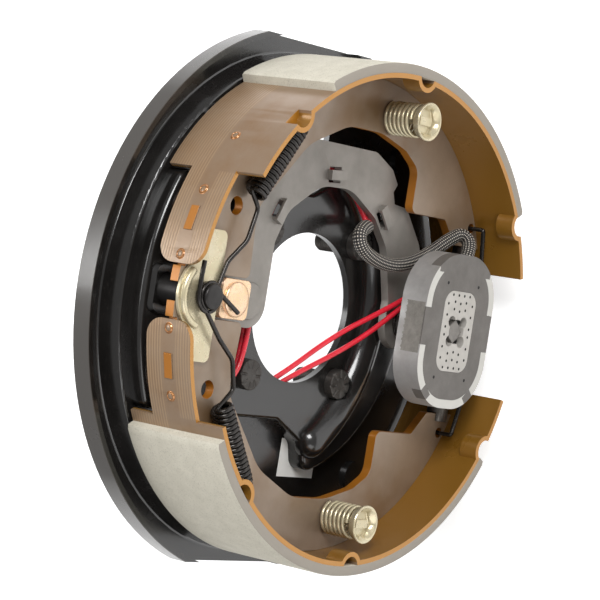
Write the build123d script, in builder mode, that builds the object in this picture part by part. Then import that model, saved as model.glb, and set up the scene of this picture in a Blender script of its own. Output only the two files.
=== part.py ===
"""Electric trailer brake assembly, 10 in drum size, with its magnet, lever and two shoes.

Frame: millimetres, Z up towards the anchor post, the brake axis along Y, the open
side that faces the drum towards -Y. The origin is on the spindle axis, in the rear
face of the mounting pad, which bolts to the axle flange. A height is measured
forward of that face, so it is -Y, and an angle is measured from +Z towards +X.
"""

from build123d import *
import os
from math import cos, pi, radians, sin, sqrt, tan

# Drum and shoes
drum_radius = 127.0
shoe_gap = 1.2  # lining to drum, shoes at rest
lining_thickness = 5.0
lining_width = 57.15
shoe_front = 53.4  # height of the linings' open edge
table_thickness = 2.4
table_start = 29.0  # angle where the full width of a shoe table begins
table_end = 164.5
primary_lining_start = 59.0
primary_lining_end = 148.6
secondary_lining_start = 31.8
secondary_lining_end = 148.8
lining_chamfer = 0.9
tongue_start = 6.2
tongue_width = 27.0
tongue_round = 9.0
dent_angles = (47.0, 93.5, 151.0)  # dents in a table's open edge
dent_radius = 8.0
dent_depth = 10.0
dent_offset = 1.0  # centre of a dent, outside the table
weld_angles = (8.2, 23.6, 38.7)
weld_radius = 2.2
weld_height = 0.8
tab_angle = 16.6  # web tab that shows through the tongue
tab_length = 12.0
tab_rise = 0.4
fit_clearance = 0.05

# Shoe webs
web_thickness = 5.0
web_mid = 24.0
web_tip_gap = 4.5  # half gap between the web tips above the anchor post
web_tip_x = 11.9
web_tip_radius = 121.3
web_top_edge = 71.0  # Z of the web edge above the spindle hole
web_foot_x = 56.0  # inner side of the web's foot
web_foot_top = -47.5
web_end_x = 44.0  # web edge that bears on the adjuster
web_end_top = -88.0
web_hole_x, web_hole_z, web_hole_radius = 43.5, 88.6, 4.4
web_waist_x = 92.0  # inner edge of the web beside the spindle hole

# Backing plate
sheet = 3.5
pad_half_width = 57.0
pad_top_radius = 117.2
pad_low_radius = 86.0
pad_foot_angle = 105.0
pad_waist = (68.0, -18.0)
pad_side_end = 4.0  # Z where the pad's straight side ends
pad_corner_round = 7.0
pad_edge_round = 2.5
floor_depth = 6.0  # front of the recessed floor, behind the mounting face
channel_depth = 16.5
channel_overlap = 1.5  # how far the channel reaches inside the drum's bore
channel_slope = 4.0
channel_width = 12.4
channel_round = 1.6
rim_wall = 3.0
lip_length = 9.8
flat_depth = 6.4  # how much the straight sides cut off the round rim
centre_hole_radius = 37.7
window_x, window_z = 81.0, 14.8
window_width, window_height, window_round = 36.0, 54.6, 8.0
bead_arc_radius, bead_arc_z, bead_half_angle = 84.0, 27.0, 52.0
bead_radius, bead_height = 9.0, 7.5
ledge_angles = (48.0, 90.0, 132.0)
ledge_clearance = 0.3
ledge_radius = 8.0
slot_x, slot_z = 21.0, -107.0  # adjusting slot behind the star wheel
slot_width, slot_height = 20.0, 8.5
slot_plug_lip = 1.6

# Studs
stud_spacing = 71.4
stud_radius = 5.55
stud_press_radius = 5.9  # splined part pressed into the plate
stud_head_radius = 7.65
stud_head_thickness = 4.6
stud_length = 20.0
stud_end_chamfer = 1.2
stud_seat_clearance = 0.4
press_clearance = 0.03
notch_count = 8
notch_width, notch_depth = 0.9, 0.5

# Anchor post and the guide plate that seats on it
anchor_z = 104.0
anchor_radius = 8.0
anchor_rivet_radius = 6.0
rivet_rise = 4.0
rivet_spread = 3.0
anchor_seat_width, anchor_seat_height, anchor_seat_rise = 24.0, 20.0, 2.5
notch_clearance = 0.08
neck_radius = 5.0
groove_radius = 4.2
post_head_radius = 6.15
post_front = 35.6
post_head_thickness = 2.0
head_chamfer = 0.7
guide_thickness = 1.5
guide_clearance = 0.3
guide_half_width = 31.0
guide_low, guide_high = 93.5, 108.0  # Z of the guide plate's straight edges
guide_corner = 3.5
guide_disc_radius = 17.6
guide_rib_radius, guide_rib_wire = 14.6, 1.9
guide_rib_start, guide_rib_end = -75.0, 45.0

# Actuating lever, pivot and block
pivot_z = 58.0
pivot_radius = 7.5
pivot_rivet_radius = 5.0
pivot_head_radius = 9.0
pivot_head_thickness = 0.9
running_clearance = 0.06
side_clearance = 0.3
lever_front = 17.0
lever_thickness = 4.5
lever_half_width = 13.0
lever_top = 92.0
lever_eye_radius = 14.0
strap_length, strap_width, strap_rise = 12.0, 5.0, 3.0
strap_thickness = 1.4
strap_places = ((45.0, 45.0, -25.0), (67.5, 7.0, -85.0), (51.5, -37.1, 40.0))
block_z = 79.8
block_width, block_height, block_corner = 19.0, 20.4, 3.0
block_play = 1.0
block_front = 27.4
block_head_radius, block_head_thickness = 8.5, 2.0

# Magnet
magnet_z = -66.5
magnet_front = 52.0
magnet_thickness = 15.5
magnet_width, magnet_height = 78.5, 58.0
magnet_round = 25.0
case_wall = 4.5
case_floor = 2.5
rim_window_depth = 6.0
side_window_x, side_window_width = 1.0, 19.0
end_window_x, end_window_height = 29.0, 44.0
corner_window_x, corner_window_z, corner_window_side = -33.0, 19.0, 7.0
insert_width, insert_height, insert_round = 41.0, 27.0, 7.0
lobe_radius, lobe_reach = 2.9, 4.9
post_opening_radius = 6.3
magnet_post_radius = 4.8
magnet_post_front = 50.6
magnet_post_head = 2.5
magnet_post_side = 8.8
magnet_travel = 1.2
magnet_spring_wide, magnet_spring_narrow = 9.5, 8.0
magnet_spring_turns = 4

# Adjuster
adjuster_z = -100.5
adjuster_tube_radius = 6.4
fork_radius = 5.5
fork_end_x = 48.0
fork_length = 8.0
fork_clearance = 0.2
fork_gap = 0.4  # slot bottom to web edge
screw_radius = 4.0
screw_end_x = -20.0
screw_pin_radius = 3.4
screw_pin_end_x = 35.0
star_radius, star_width, star_x = 9.8, 6.0, 18.0
star_teeth = 20
star_tooth_depth = 1.6
washer_thickness = 1.2
axial_clearance = 0.1
adjuster_spring_z, adjuster_spring_height = -110.0, 34.5
adjuster_spring_start, adjuster_spring_end = -28.0, 14.0
adjuster_spring_radius = 3.5
adjuster_spring_turns = 14
adjuster_hole = (54.0, -101.0)
adjuster_hole_radius = 2.6

# Retractor springs, given for the side towards +X
wire_radius = 1.15
coil_radius = 5.8
coil_turns = 15
coil_height = 32.8
coil_near = (50.3, 84.3)
coil_far = (84.0, 61.5)
tail_coil_wide, tail_coil_narrow = 4.4, 2.4
tail_coil_end = (96.0, 53.4)
tail_coil_turns = 5
spring_hole = (99.5, 51.0)
spring_hole_radius = 3.2
hook_radius = 5.65
hook_turn = 285.0
primary_hook_height, secondary_hook_height = 29.65, 32.25
primary_hook_start, secondary_hook_start = 197.5, -45.0
primary_arm = ((17.0, 92.5), (28.0, 84.5), (44.0, 80.3))
secondary_arm = ((-19.0, 93.0), (-28.0, 81.5), (-42.0, 77.5))
primary_tip, primary_tip_height = (-6.0, 82.0), 31.5
secondary_tip, secondary_tip_height = (16.0, 110.5), 32.25
arm_bend = 5.0
coil_entry = (49.3, 81.6)

# Shoe hold-downs
hold_down_x, hold_down_z = 100.5, -19.0
hold_down_hole_radius = 6.5
hold_down_pin_radius = 2.0
hold_down_clearance = 0.1
pin_head_radius = 4.5
cup_radius, cup_front, cup_depth, cup_sheet = 9.6, 50.0, 5.0, 1.2
hold_down_spring_radius = 8.8
hold_down_turns = 6

# Leads
lead_radius = 1.35
sleeve_radius = 3.6
grommet_x, grommet_z = -46.0, 62.0
grommet_waist, grommet_flange, grommet_lip = 4.6, 6.6, 1.2
lead_pitch = 2.8
lead_clearance = 0.25
lead_under_lever = lever_front - lever_thickness - lead_clearance - lead_radius

# Sizes that follow from the ones above
channel_inner_radius = drum_radius - channel_overlap
floor_radius = channel_inner_radius - channel_slope
rim_radius = channel_inner_radius + channel_width
flat_half_width = rim_radius - flat_depth
shoe_back = shoe_front - lining_width
lining_radius = drum_radius - shoe_gap
table_outer = lining_radius - lining_thickness
table_inner = table_outer - table_thickness
web_front = web_mid + web_thickness / 2
web_back = web_mid - web_thickness / 2
lever_back = lever_front - lever_thickness
magnet_back = magnet_front - magnet_thickness
guide_back = web_front + guide_clearance
guide_front = guide_back + guide_thickness
notch_radius = anchor_radius + notch_clearance
block_edge_x = block_width / 2 + block_play
seat_front = sheet + anchor_seat_rise
rim_back = channel_depth + sheet
core_seat = magnet_post_front - magnet_post_head - side_clearance
shoes = ((1, "primary"), (-1, "secondary"))

os.makedirs("parts", exist_ok=True)


def at_height(height):
    """Plane parallel to the brake's face, with X right, Z up and its normal forward."""
    return Plane.XZ.offset(height)


def place(x, z, height):
    """Point from X, Z and a height forward of the mounting face."""
    return Vector(x, -height, z)


def polar(radius, angle):
    """Point at an angle measured from the anchor post towards +X."""
    return radius * sin(radians(angle)), radius * cos(radians(angle))


def turning_axis(x, z):
    """Line along the brake's axis through X and Z."""
    return Axis((x, 0, z), (0, 1, 0))


def save(piece, name):
    """Label a finished piece and write its STEP file."""
    piece.part.label = name
    export_step(piece.part, f"parts/{name}.step")


def ring_sector(inner, outer, start, end):
    """Face between two radii and two angles."""
    middle = (start + end) / 2
    with BuildSketch() as sector:
        with BuildLine():
            ThreePointArc(polar(outer, start), polar(outer, middle), polar(outer, end))
            Line(polar(outer, end), polar(inner, end))
            ThreePointArc(polar(inner, end), polar(inner, middle), polar(inner, start))
            Line(polar(inner, start), polar(outer, start))
        make_face()
    return sector.sketch


def rounded_outline(corners):
    """Closed outline from corners of X, Z and radius, where 0 leaves a corner sharp."""
    with BuildSketch() as outline:
        with BuildLine():
            Polyline(*[(x, z) for x, z, _ in corners], close=True)
        make_face()
        for x, z, radius in corners:
            if radius:
                fillet(outline.vertices().sort_by_distance((x, z))[0], radius)
    return outline.sketch


def half_section(profile):
    """Turned piece's section in the XY plane, from points of radius and height."""
    with BuildSketch() as section:
        with BuildLine():
            Polyline(*[(radius, -height) for radius, height in profile], close=True)
        make_face()
    return section.sketch


def pad_outline(inset):
    """Raised pad seen from the front: straight sides, a round top, a wide round foot."""
    top = (pad_half_width, sqrt(pad_top_radius**2 - pad_half_width**2))
    foot = polar(pad_low_radius, pad_foot_angle)
    waist = pad_waist
    with BuildSketch() as outline:
        with BuildLine():
            ThreePointArc(top, (0, pad_top_radius), (-top[0], top[1]))
            Polyline(
                (-top[0], top[1]), (-top[0], pad_side_end), (-waist[0], waist[1]), (-foot[0], foot[1])
            )
            ThreePointArc((-foot[0], foot[1]), (0, -pad_low_radius), foot)
            Polyline(foot, waist, (top[0], pad_side_end), top)
        make_face()
        fillet(outline.vertices(), pad_corner_round)
        if inset:
            offset(amount=-inset, mode=Mode.REPLACE)
    return outline.sketch


def bead_form(radius):
    """Stiffening bead's half-round rod along its arc, with round ends."""
    height = sheet + bead_height - bead_radius
    ends = [polar(bead_arc_radius, 180 + side * bead_half_angle) for side in (-1, 1)]
    right, left = [place(x, z + bead_arc_z, height) for x, z in ends]
    with BuildPart() as bead:
        with BuildLine() as path:
            ThreePointArc(right, place(0, bead_arc_z - bead_arc_radius, height), left)
        with BuildSketch(path.line ^ 0):
            Circle(radius)
        sweep(path=path.line)
        with Locations(left, right):
            Sphere(radius)
        with BuildSketch(at_height(0)):
            Rectangle(4 * pad_low_radius, 4 * pad_low_radius)
        extrude(amount=4 * bead_height, mode=Mode.INTERSECT)
    return bead.part


def coil(start, end, wide, narrow, wire, turns):
    """Closed solid with a coil spring's outer shape, open along its middle."""
    along = (end - start).normalized()
    radial = along.cross(Vector(0, 1, 0))
    if radial.length < 0.5:
        radial = Vector(1, 0, 0)
    length = (end - start).length
    outside = []
    inside = []
    for step in range(2 * turns + 1):
        share = step / (2 * turns)
        crest = wide + (narrow - wide) * share
        outside.append((crest - (0 if step % 2 else 0.7 * wire), share * length))
        inside.insert(0, (crest - 2 * wire, share * length))
    with BuildPart() as spring:
        with BuildSketch(Plane(start, x_dir=radial, z_dir=radial.cross(along))):
            with BuildLine():
                Polyline(*outside, inside[0], inside[-1], close=True)
            make_face()
        revolve(axis=Axis(start, along))
    return spring.part


def bend_radii(points):
    """Radius of each bend: 0.45 of the shorter run over the tangent of half the turn."""
    radii = []
    for before, corner, after in zip(points, points[1:], points[2:]):
        run_in, run_out = corner - before, after - corner
        half_turn = radians(run_in.get_angle(run_out)) / 2
        radii.append(0.45 * min(run_in.length, run_out.length) / tan(half_turn))
    return radii


def lead(points, radius):
    """Round lead along straight runs joined by tangent arcs."""
    with BuildPart() as tube:
        with BuildLine() as route:
            FilletPolyline(*points, radius=bend_radii(points))
        with BuildSketch(route.line ^ 0):
            Circle(radius)
        sweep(path=route.line)
    return tube.part


bead_solid = bead_form(bead_radius)
bead_hollow = bead_form(bead_radius - sheet)

with BuildPart() as backing_plate:
    # Sheet section of the floor, the drum channel and the forward lip
    with BuildSketch(Plane.XY):
        with BuildLine():
            Polyline(
                (0, floor_depth),
                (floor_radius, floor_depth),
                (channel_inner_radius, channel_depth),
                (rim_radius - rim_wall, channel_depth),
                (rim_radius - rim_wall, rim_back - lip_length),
                (rim_radius, rim_back - lip_length),
                (rim_radius, rim_back),
                (channel_inner_radius - sheet, rim_back),
                (floor_radius - sheet, floor_depth + sheet),
                (0, floor_depth + sheet),
                close=True,
            )
        make_face()
        slope_corners = vertices().filter_by_position(Axis.X, floor_radius - sheet, channel_inner_radius)
        fillet(slope_corners, channel_round)
    revolve(axis=Axis.Y)
    # Straight sides
    with BuildSketch(at_height(-rim_back)):
        with Locations((flat_half_width, 0)):
            Rectangle(rim_radius, 2 * rim_radius, align=(Align.MIN, Align.CENTER))
        with Locations((-flat_half_width, 0)):
            Rectangle(rim_radius, 2 * rim_radius, align=(Align.MAX, Align.CENTER))
    extrude(amount=rim_back, mode=Mode.SUBTRACT)
    # Raised pad, hollow behind
    with BuildSketch(at_height(-floor_depth - sheet)):
        add(pad_outline(0))
    extrude(amount=floor_depth + 2 * sheet)
    fillet(faces().filter_by(Axis.Y).sort_by(Axis.Y)[0].edges(), pad_edge_round)
    with BuildSketch(at_height(-floor_depth - sheet)):
        add(pad_outline(sheet))
    extrude(amount=floor_depth + sheet, mode=Mode.SUBTRACT)
    # Stiffening bead, hollow behind
    add(bead_solid)
    add(bead_hollow, mode=Mode.SUBTRACT)
    # Flat seats of the studs, sunk into the bead where they meet it
    with BuildSketch(at_height(0)):
        with GridLocations(stud_spacing, stud_spacing, 2, 2):
            Circle(stud_head_radius + 2 * stud_seat_clearance)
    extrude(amount=sheet)
    with BuildSketch(at_height(sheet)):
        with GridLocations(stud_spacing, stud_spacing, 2, 2):
            Circle(stud_head_radius + stud_seat_clearance)
    extrude(amount=bead_radius, mode=Mode.SUBTRACT)
    # Anchor seat
    with BuildSketch(at_height(sheet)):
        with Locations((0, anchor_z)):
            RectangleRounded(anchor_seat_width, anchor_seat_height, 5)
    extrude(amount=anchor_seat_rise, taper=20)
    # Shoe ledges
    with BuildSketch(at_height(-floor_depth)):
        for side, _ in shoes:
            for angle in ledge_angles:
                with Locations(polar(floor_radius - ledge_radius - 1, side * angle)):
                    Circle(ledge_radius)
    extrude(amount=floor_depth + shoe_back - ledge_clearance)
    # Openings through the plate
    with BuildSketch(at_height(-rim_back)):
        Circle(centre_hole_radius)
        with GridLocations(stud_spacing, stud_spacing, 2, 2):
            Circle(stud_press_radius + press_clearance)
        with Locations((0, anchor_z)):
            Circle(anchor_rivet_radius + press_clearance)
        with Locations((0, pivot_z)):
            Circle(pivot_rivet_radius + press_clearance)
        with Locations((hold_down_x, hold_down_z), (-hold_down_x, hold_down_z)):
            Circle(hold_down_pin_radius + hold_down_clearance)
        with Locations((grommet_x, grommet_z)):
            Circle(grommet_waist + press_clearance)
        with Locations((window_x, window_z)):
            RectangleRounded(window_width, window_height, window_round)
        with Locations((slot_x, slot_z)):
            SlotOverall(slot_width, slot_height)
    extrude(amount=rim_back + 2 * bead_radius, mode=Mode.SUBTRACT)
save(backing_plate, "backing_plate")

half_spacing = stud_spacing / 2
stud_places = [(x, z) for x in (-half_spacing, half_spacing) for z in (-half_spacing, half_spacing)]
for number, spot in enumerate(stud_places, 1):
    with BuildPart() as stud:
        with BuildSketch(at_height(-stud_length)):
            with Locations(spot):
                Circle(stud_radius)
        extrude(amount=stud_length)
        chamfer(stud.faces().sort_by(Axis.Y)[-1].edges(), stud_end_chamfer)
        with BuildSketch(at_height(0)):
            with Locations(spot):
                Circle(stud_press_radius)
        extrude(amount=sheet)
        with BuildSketch(at_height(sheet)):
            with Locations(spot):
                Circle(stud_head_radius)
        extrude(amount=stud_head_thickness)
        chamfer(stud.faces().sort_by(Axis.Y)[0].edges(), head_chamfer)
        with BuildSketch(at_height(sheet + stud_head_thickness)):
            with Locations(spot):
                with PolarLocations(0.75 * stud_head_radius, notch_count):
                    Rectangle(0.3 * stud_head_radius, notch_width)
        extrude(amount=-notch_depth, mode=Mode.SUBTRACT)
    save(stud, f"mounting_stud_{number}")

with BuildPart() as anchor_post:
    with BuildSketch(Plane((0, 0, anchor_z))):
        add(
            half_section(
                (
                    (0, -rivet_rise),
                    (anchor_rivet_radius, -rivet_rise),
                    (anchor_rivet_radius + rivet_spread, -rivet_rise / 4),
                    (anchor_rivet_radius + rivet_spread, 0),
                    (anchor_rivet_radius, 0),
                    (anchor_rivet_radius, seat_front),
                    (anchor_radius, seat_front),
                    (anchor_radius, guide_back),
                    (neck_radius, guide_back),
                    (neck_radius, guide_front),
                    (groove_radius, guide_front),
                    (groove_radius, post_front - post_head_thickness),
                    (post_head_radius, post_front - post_head_thickness),
                    (post_head_radius, post_front - head_chamfer),
                    (post_head_radius - head_chamfer, post_front),
                    (0, post_front),
                )
            )
        )
    revolve(axis=turning_axis(0, anchor_z))
save(anchor_post, "anchor_post")

rib_height = guide_back + guide_rib_wire
rib_ends = [polar(guide_rib_radius, angle) for angle in (guide_rib_start, guide_rib_end)]
rib_points = [place(x, z + anchor_z, rib_height) for x, z in rib_ends]
rib_top = polar(guide_rib_radius, (guide_rib_start + guide_rib_end) / 2)
with BuildPart() as guide_plate:
    with BuildSketch(at_height(guide_back)):
        with Locations((0, (guide_low + guide_high) / 2)):
            RectangleRounded(2 * guide_half_width, guide_high - guide_low, guide_corner)
        with Locations((0, anchor_z)):
            Circle(guide_disc_radius)
        with Locations((0, guide_low)):
            Rectangle(
                4 * guide_half_width,
                4 * guide_half_width,
                align=(Align.CENTER, Align.MIN),
                mode=Mode.INTERSECT,
            )
    extrude(amount=guide_thickness)
    with BuildLine() as rib_path:
        ThreePointArc(rib_points[0], place(rib_top[0], rib_top[1] + anchor_z, rib_height), rib_points[1])
    with BuildSketch(rib_path.line ^ 0):
        Circle(guide_rib_wire)
    sweep(path=rib_path.line)
    with Locations(*rib_points):
        Sphere(guide_rib_wire)
    with BuildSketch(at_height(guide_back)):
        with Locations((0, anchor_z)):
            Circle(neck_radius + running_clearance)
    extrude(amount=guide_thickness, mode=Mode.SUBTRACT)
save(guide_plate, "guide_plate")

with BuildPart() as lever_pivot:
    pivot_front = lever_front + side_clearance
    with BuildSketch(Plane((0, 0, pivot_z))):
        add(
            half_section(
                (
                    (0, -rivet_rise),
                    (pivot_rivet_radius, -rivet_rise),
                    (pivot_rivet_radius + rivet_spread, -rivet_rise / 4),
                    (pivot_rivet_radius + rivet_spread, 0),
                    (pivot_rivet_radius, 0),
                    (pivot_rivet_radius, sheet),
                    (pivot_head_radius, sheet),
                    (pivot_head_radius, lever_back - side_clearance),
                    (pivot_radius, lever_back - side_clearance),
                    (pivot_radius, pivot_front),
                    (pivot_head_radius, pivot_front),
                    (pivot_head_radius, pivot_front + pivot_head_thickness),
                    (0, pivot_front + pivot_head_thickness),
                )
            )
        )
    revolve(axis=turning_axis(0, pivot_z))
save(lever_pivot, "lever_pivot")

# Shoes: the web of each, its table and its lining
web_corners = (
    (block_edge_x, web_top_edge, 3),
    (44, web_top_edge + 2, 14),
    (79, 42, 30),
    (web_waist_x, 13, 30),
    (web_waist_x, -13, 30),
    (86, -35, 12),
    (78, web_foot_top, 8),
    (web_foot_x, web_foot_top, 4),
    (web_foot_x, -77, 3),
    (web_end_x, web_end_top, 2),
    (web_end_x, -rim_radius, 0),
    (rim_radius, -rim_radius, 0),
    (rim_radius, rim_radius, 0),
    (web_tip_gap, rim_radius, 0),
    (web_tip_gap, anchor_z, 0),
    (block_edge_x, anchor_z - 6, 1),
)
weld_ball = (weld_radius**2 + weld_height**2) / (2 * weld_height)
weld_centre = table_outer + weld_height - weld_ball
linings = {
    "primary": (primary_lining_start, primary_lining_end),
    "secondary": (secondary_lining_start, secondary_lining_end),
}
for side, name in shoes:
    with BuildPart() as web:
        with BuildSketch(at_height(web_back)):
            add(rounded_outline(web_corners))
            Circle(table_inner, mode=Mode.INTERSECT)
            # Tip beyond the tongue, and the tab in the tongue's slot
            with BuildSketch(mode=Mode.PRIVATE) as tip:
                Circle(web_tip_radius)
                with Locations((web_tip_gap, anchor_z)):
                    Rectangle(
                        web_tip_x - web_tip_gap,
                        rim_radius,
                        align=(Align.MIN, Align.MIN),
                        mode=Mode.INTERSECT,
                    )
            add(tip.sketch)
            with Locations(Location((*polar(table_inner, tab_angle), 0), (0, 0, -tab_angle))):
                Rectangle(tab_length, 2 * (table_thickness + tab_rise))
            with Locations((0, anchor_z)):
                Circle(notch_radius, mode=Mode.SUBTRACT)
            with Locations((web_hole_x, web_hole_z)):
                Circle(web_hole_radius, mode=Mode.SUBTRACT)
            with Locations(spring_hole):
                Circle(spring_hole_radius, mode=Mode.SUBTRACT)
            with Locations((hold_down_x, hold_down_z)):
                Circle(hold_down_hole_radius, mode=Mode.SUBTRACT)
            with Locations(adjuster_hole):
                Circle(adjuster_hole_radius, mode=Mode.SUBTRACT)
            if side < 0:
                mirror(about=Plane.YZ, mode=Mode.REPLACE)
        extrude(amount=web_thickness)
    save(web, f"{name}_web")

    with BuildPart() as table:
        with BuildSketch(at_height(shoe_back)):
            add(ring_sector(table_inner, table_outer, table_start, table_end))
        extrude(amount=lining_width)
        with BuildSketch(at_height(web_mid - tongue_width / 2)):
            add(ring_sector(table_inner, table_outer, tongue_start, table_start + 1))
        extrude(amount=tongue_width)
        # Rounded end of the tongue
        end_x, end_z = polar((table_inner + table_outer) / 2, tongue_start)
        for height in (web_mid - tongue_width / 2, web_mid + tongue_width / 2):
            fillet(table.edges().sort_by_distance(place(end_x, end_z, height))[0], tongue_round)
        # Welds that no lining covers
        bare_welds = [polar(weld_centre, angle) for angle in weld_angles if angle < linings[name][0]]
        with Locations(*[(x, -web_mid, z) for x, z in bare_welds]):
            Sphere(weld_ball)
        # Dents in the open edge
        with BuildSketch(at_height(shoe_front - dent_depth)):
            for angle in dent_angles:
                with Locations(polar(table_outer + dent_offset, angle)):
                    Circle(dent_radius)
            add(ring_sector(table_outer, rim_radius, 0, table_end), mode=Mode.SUBTRACT)
        extrude(amount=dent_depth)
        with BuildSketch(at_height(shoe_front - dent_depth + table_thickness)):
            for angle in dent_angles:
                with Locations(polar(table_outer + dent_offset, angle)):
                    Circle(dent_radius - table_thickness)
        extrude(amount=dent_depth, mode=Mode.SUBTRACT)
        with BuildSketch(at_height(web_mid - 2 * weld_ball)):
            Circle(table_inner)
        extrude(amount=4 * weld_ball, mode=Mode.SUBTRACT)
        # Slot for the web's tab
        with BuildSketch(at_height(web_back - fit_clearance)):
            with Locations(Location((*polar(table_inner, tab_angle), 0), (0, 0, -tab_angle))):
                Rectangle(tab_length + 2 * fit_clearance, 4 * table_thickness)
        extrude(amount=web_thickness + 2 * fit_clearance, mode=Mode.SUBTRACT)
        if side < 0:
            mirror(about=Plane.YZ, mode=Mode.REPLACE)
    save(table, f"{name}_table")

    start, end = linings[name]
    with BuildPart() as lining:
        with BuildSketch(at_height(shoe_back)):
            add(ring_sector(table_outer, lining_radius, side * start, side * end))
        extrude(amount=lining_width)
        chamfer(lining.faces().sort_by(SortBy.AREA)[-1].edges(), lining_chamfer)
    save(lining, f"{name}_lining")

# Retractor springs: a hook round the post, an arm, the coil and its tail in the web
springs = {
    "primary": (primary_hook_start, primary_hook_height, primary_arm, primary_tip, primary_tip_height, 180),
    "secondary": (
        secondary_hook_start,
        secondary_hook_height,
        secondary_arm,
        secondary_tip,
        secondary_tip_height,
        45,
    ),
}
for side, name in shoes:
    hook_start, hook_height, arm, tip, tip_height, tip_angle = springs[name]
    touch, bow, free_end, tip_root = [
        place(x, z + anchor_z, hook_height)
        for x, z in [
            polar(hook_radius, angle)
            for angle in (hook_start, hook_start + hook_turn / 2, hook_start + hook_turn, tip_angle)
        ]
    ]
    near = place(side * coil_near[0], coil_near[1], coil_height)
    far = place(side * coil_far[0], coil_far[1], coil_height)
    tail_end = place(side * tail_coil_end[0], tail_coil_end[1], coil_height)
    over_hole = place(side * spring_hole[0], spring_hole[1], coil_height)
    in_hole = place(side * spring_hole[0], spring_hole[1], web_back - 1)
    entry = place(side * coil_entry[0], coil_entry[1], coil_height)
    main_coil = coil(near, far, coil_radius, coil_radius, wire_radius, coil_turns)
    tail_coil = coil(far, tail_end, tail_coil_wide, tail_coil_narrow, wire_radius, tail_coil_turns)
    with BuildPart() as spring:
        with BuildLine() as hook_path:
            ThreePointArc(touch, bow, free_end)
        with BuildSketch(hook_path.line ^ 0):
            Circle(wire_radius)
        sweep(path=hook_path.line)
        with Locations(touch):
            Sphere(wire_radius)
        knee = place(*arm[0], hook_height)
        with BuildLine() as arm_path:
            FilletPolyline(
                touch, knee, *[place(x, z, coil_height) for x, z in arm[1:]], entry, radius=arm_bend
            )
        with BuildSketch(arm_path.line ^ 0):
            Circle(wire_radius)
        sweep(path=arm_path.line)
        tip_path = Line(tip_root, place(*tip, tip_height), mode=Mode.PRIVATE)
        with BuildSketch(tip_path ^ 0):
            Circle(wire_radius)
        sweep(path=tip_path)
        add(main_coil)
        add(tail_coil)
        with BuildLine() as tail_path:
            FilletPolyline(tail_end - (over_hole - tail_end), over_hole, in_hole, radius=2 * wire_radius)
        with BuildSketch(tail_path.line ^ 0):
            Circle(wire_radius)
        sweep(path=tail_path.line)
    save(spring, f"{name}_retractor_spring")

    # Hold-down: a nail from behind the plate, its spring and its cup
    spot = (side * hold_down_x, hold_down_z)
    with BuildPart() as pin:
        with BuildSketch(at_height(-floor_depth - sheet - cup_sheet)):
            with Locations(spot):
                Circle(pin_head_radius)
        extrude(amount=cup_sheet)
        with BuildSketch(at_height(-floor_depth - sheet)):
            with Locations(spot):
                Circle(hold_down_pin_radius)
        extrude(amount=floor_depth + sheet + cup_front - cup_depth + 2 * cup_sheet)
        with BuildSketch(at_height(cup_front - cup_depth + cup_sheet + press_clearance)):
            with Locations(spot):
                Rectangle(2 * hold_down_pin_radius, 2 * pin_head_radius)
        extrude(amount=cup_sheet)
    save(pin, f"{name}_hold_down_pin")

    spring_foot = place(*spot, web_front + side_clearance)
    spring_top = place(*spot, cup_front - cup_depth - press_clearance)
    with BuildPart() as hold_down_spring:
        add(
            coil(
                spring_foot,
                spring_top,
                hold_down_spring_radius,
                hold_down_spring_radius,
                wire_radius,
                hold_down_turns,
            )
        )
    save(hold_down_spring, f"{name}_hold_down_spring")

    with BuildPart() as cup:
        with BuildSketch(Plane((spot[0], 0, spot[1]))):
            add(
                half_section(
                    (
                        (hold_down_pin_radius + hold_down_clearance, cup_front - cup_depth),
                        (cup_radius - 1.5 * cup_sheet, cup_front - cup_depth),
                        (cup_radius, cup_front - cup_sheet),
                        (cup_radius, cup_front),
                        (cup_radius - cup_sheet, cup_front),
                        (cup_radius - 2.5 * cup_sheet, cup_front - cup_depth + cup_sheet),
                        (hold_down_pin_radius + hold_down_clearance, cup_front - cup_depth + cup_sheet),
                    )
                )
            )
        revolve(axis=turning_axis(*spot))
    save(cup, f"{name}_hold_down_cup")

# Adjuster: a nut and a cap that straddle the shoe webs, the screw with its star wheel, a washer
adjuster_line = Axis((0, -web_mid, adjuster_z), (1, 0, 0))
washer_x = star_x + star_width + axial_clearance
cap_x = washer_x + washer_thickness + axial_clearance


def along_adjuster(profile):
    """Section of a piece turned about the adjuster's axis, from points of X and radius."""
    with BuildSketch(Plane((0, -web_mid, adjuster_z), x_dir=(1, 0, 0), z_dir=(0, -1, 0))) as section:
        with BuildLine():
            Polyline(*profile, close=True)
        make_face()
    return section.sketch


def fork_slot(side):
    """Slot in an adjuster end that takes the shoe web."""
    with BuildPart() as slot:
        with BuildSketch(at_height(web_back - fork_clearance)):
            with Locations((side * (web_end_x - fork_gap), adjuster_z)):
                align_x = Align.MIN if side > 0 else Align.MAX
                Rectangle(fork_length, 4 * fork_radius, align=(align_x, Align.CENTER))
        extrude(amount=web_thickness + 2 * fork_clearance)
    return slot.part


with BuildPart() as adjuster_nut:
    add(
        along_adjuster(
            (
                (-fork_end_x, 0),
                (-fork_end_x, fork_radius),
                (fork_length - fork_end_x, fork_radius),
                (fork_length - fork_end_x, adjuster_tube_radius),
                (star_x - 3 * axial_clearance, adjuster_tube_radius),
                (star_x - 3 * axial_clearance, screw_radius + running_clearance),
                (screw_end_x - 1, screw_radius + running_clearance),
                (screw_end_x - 1, 0),
            )
        )
    )
    revolve(axis=adjuster_line)
    add(fork_slot(-1), mode=Mode.SUBTRACT)
save(adjuster_nut, "adjuster_nut")

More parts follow.
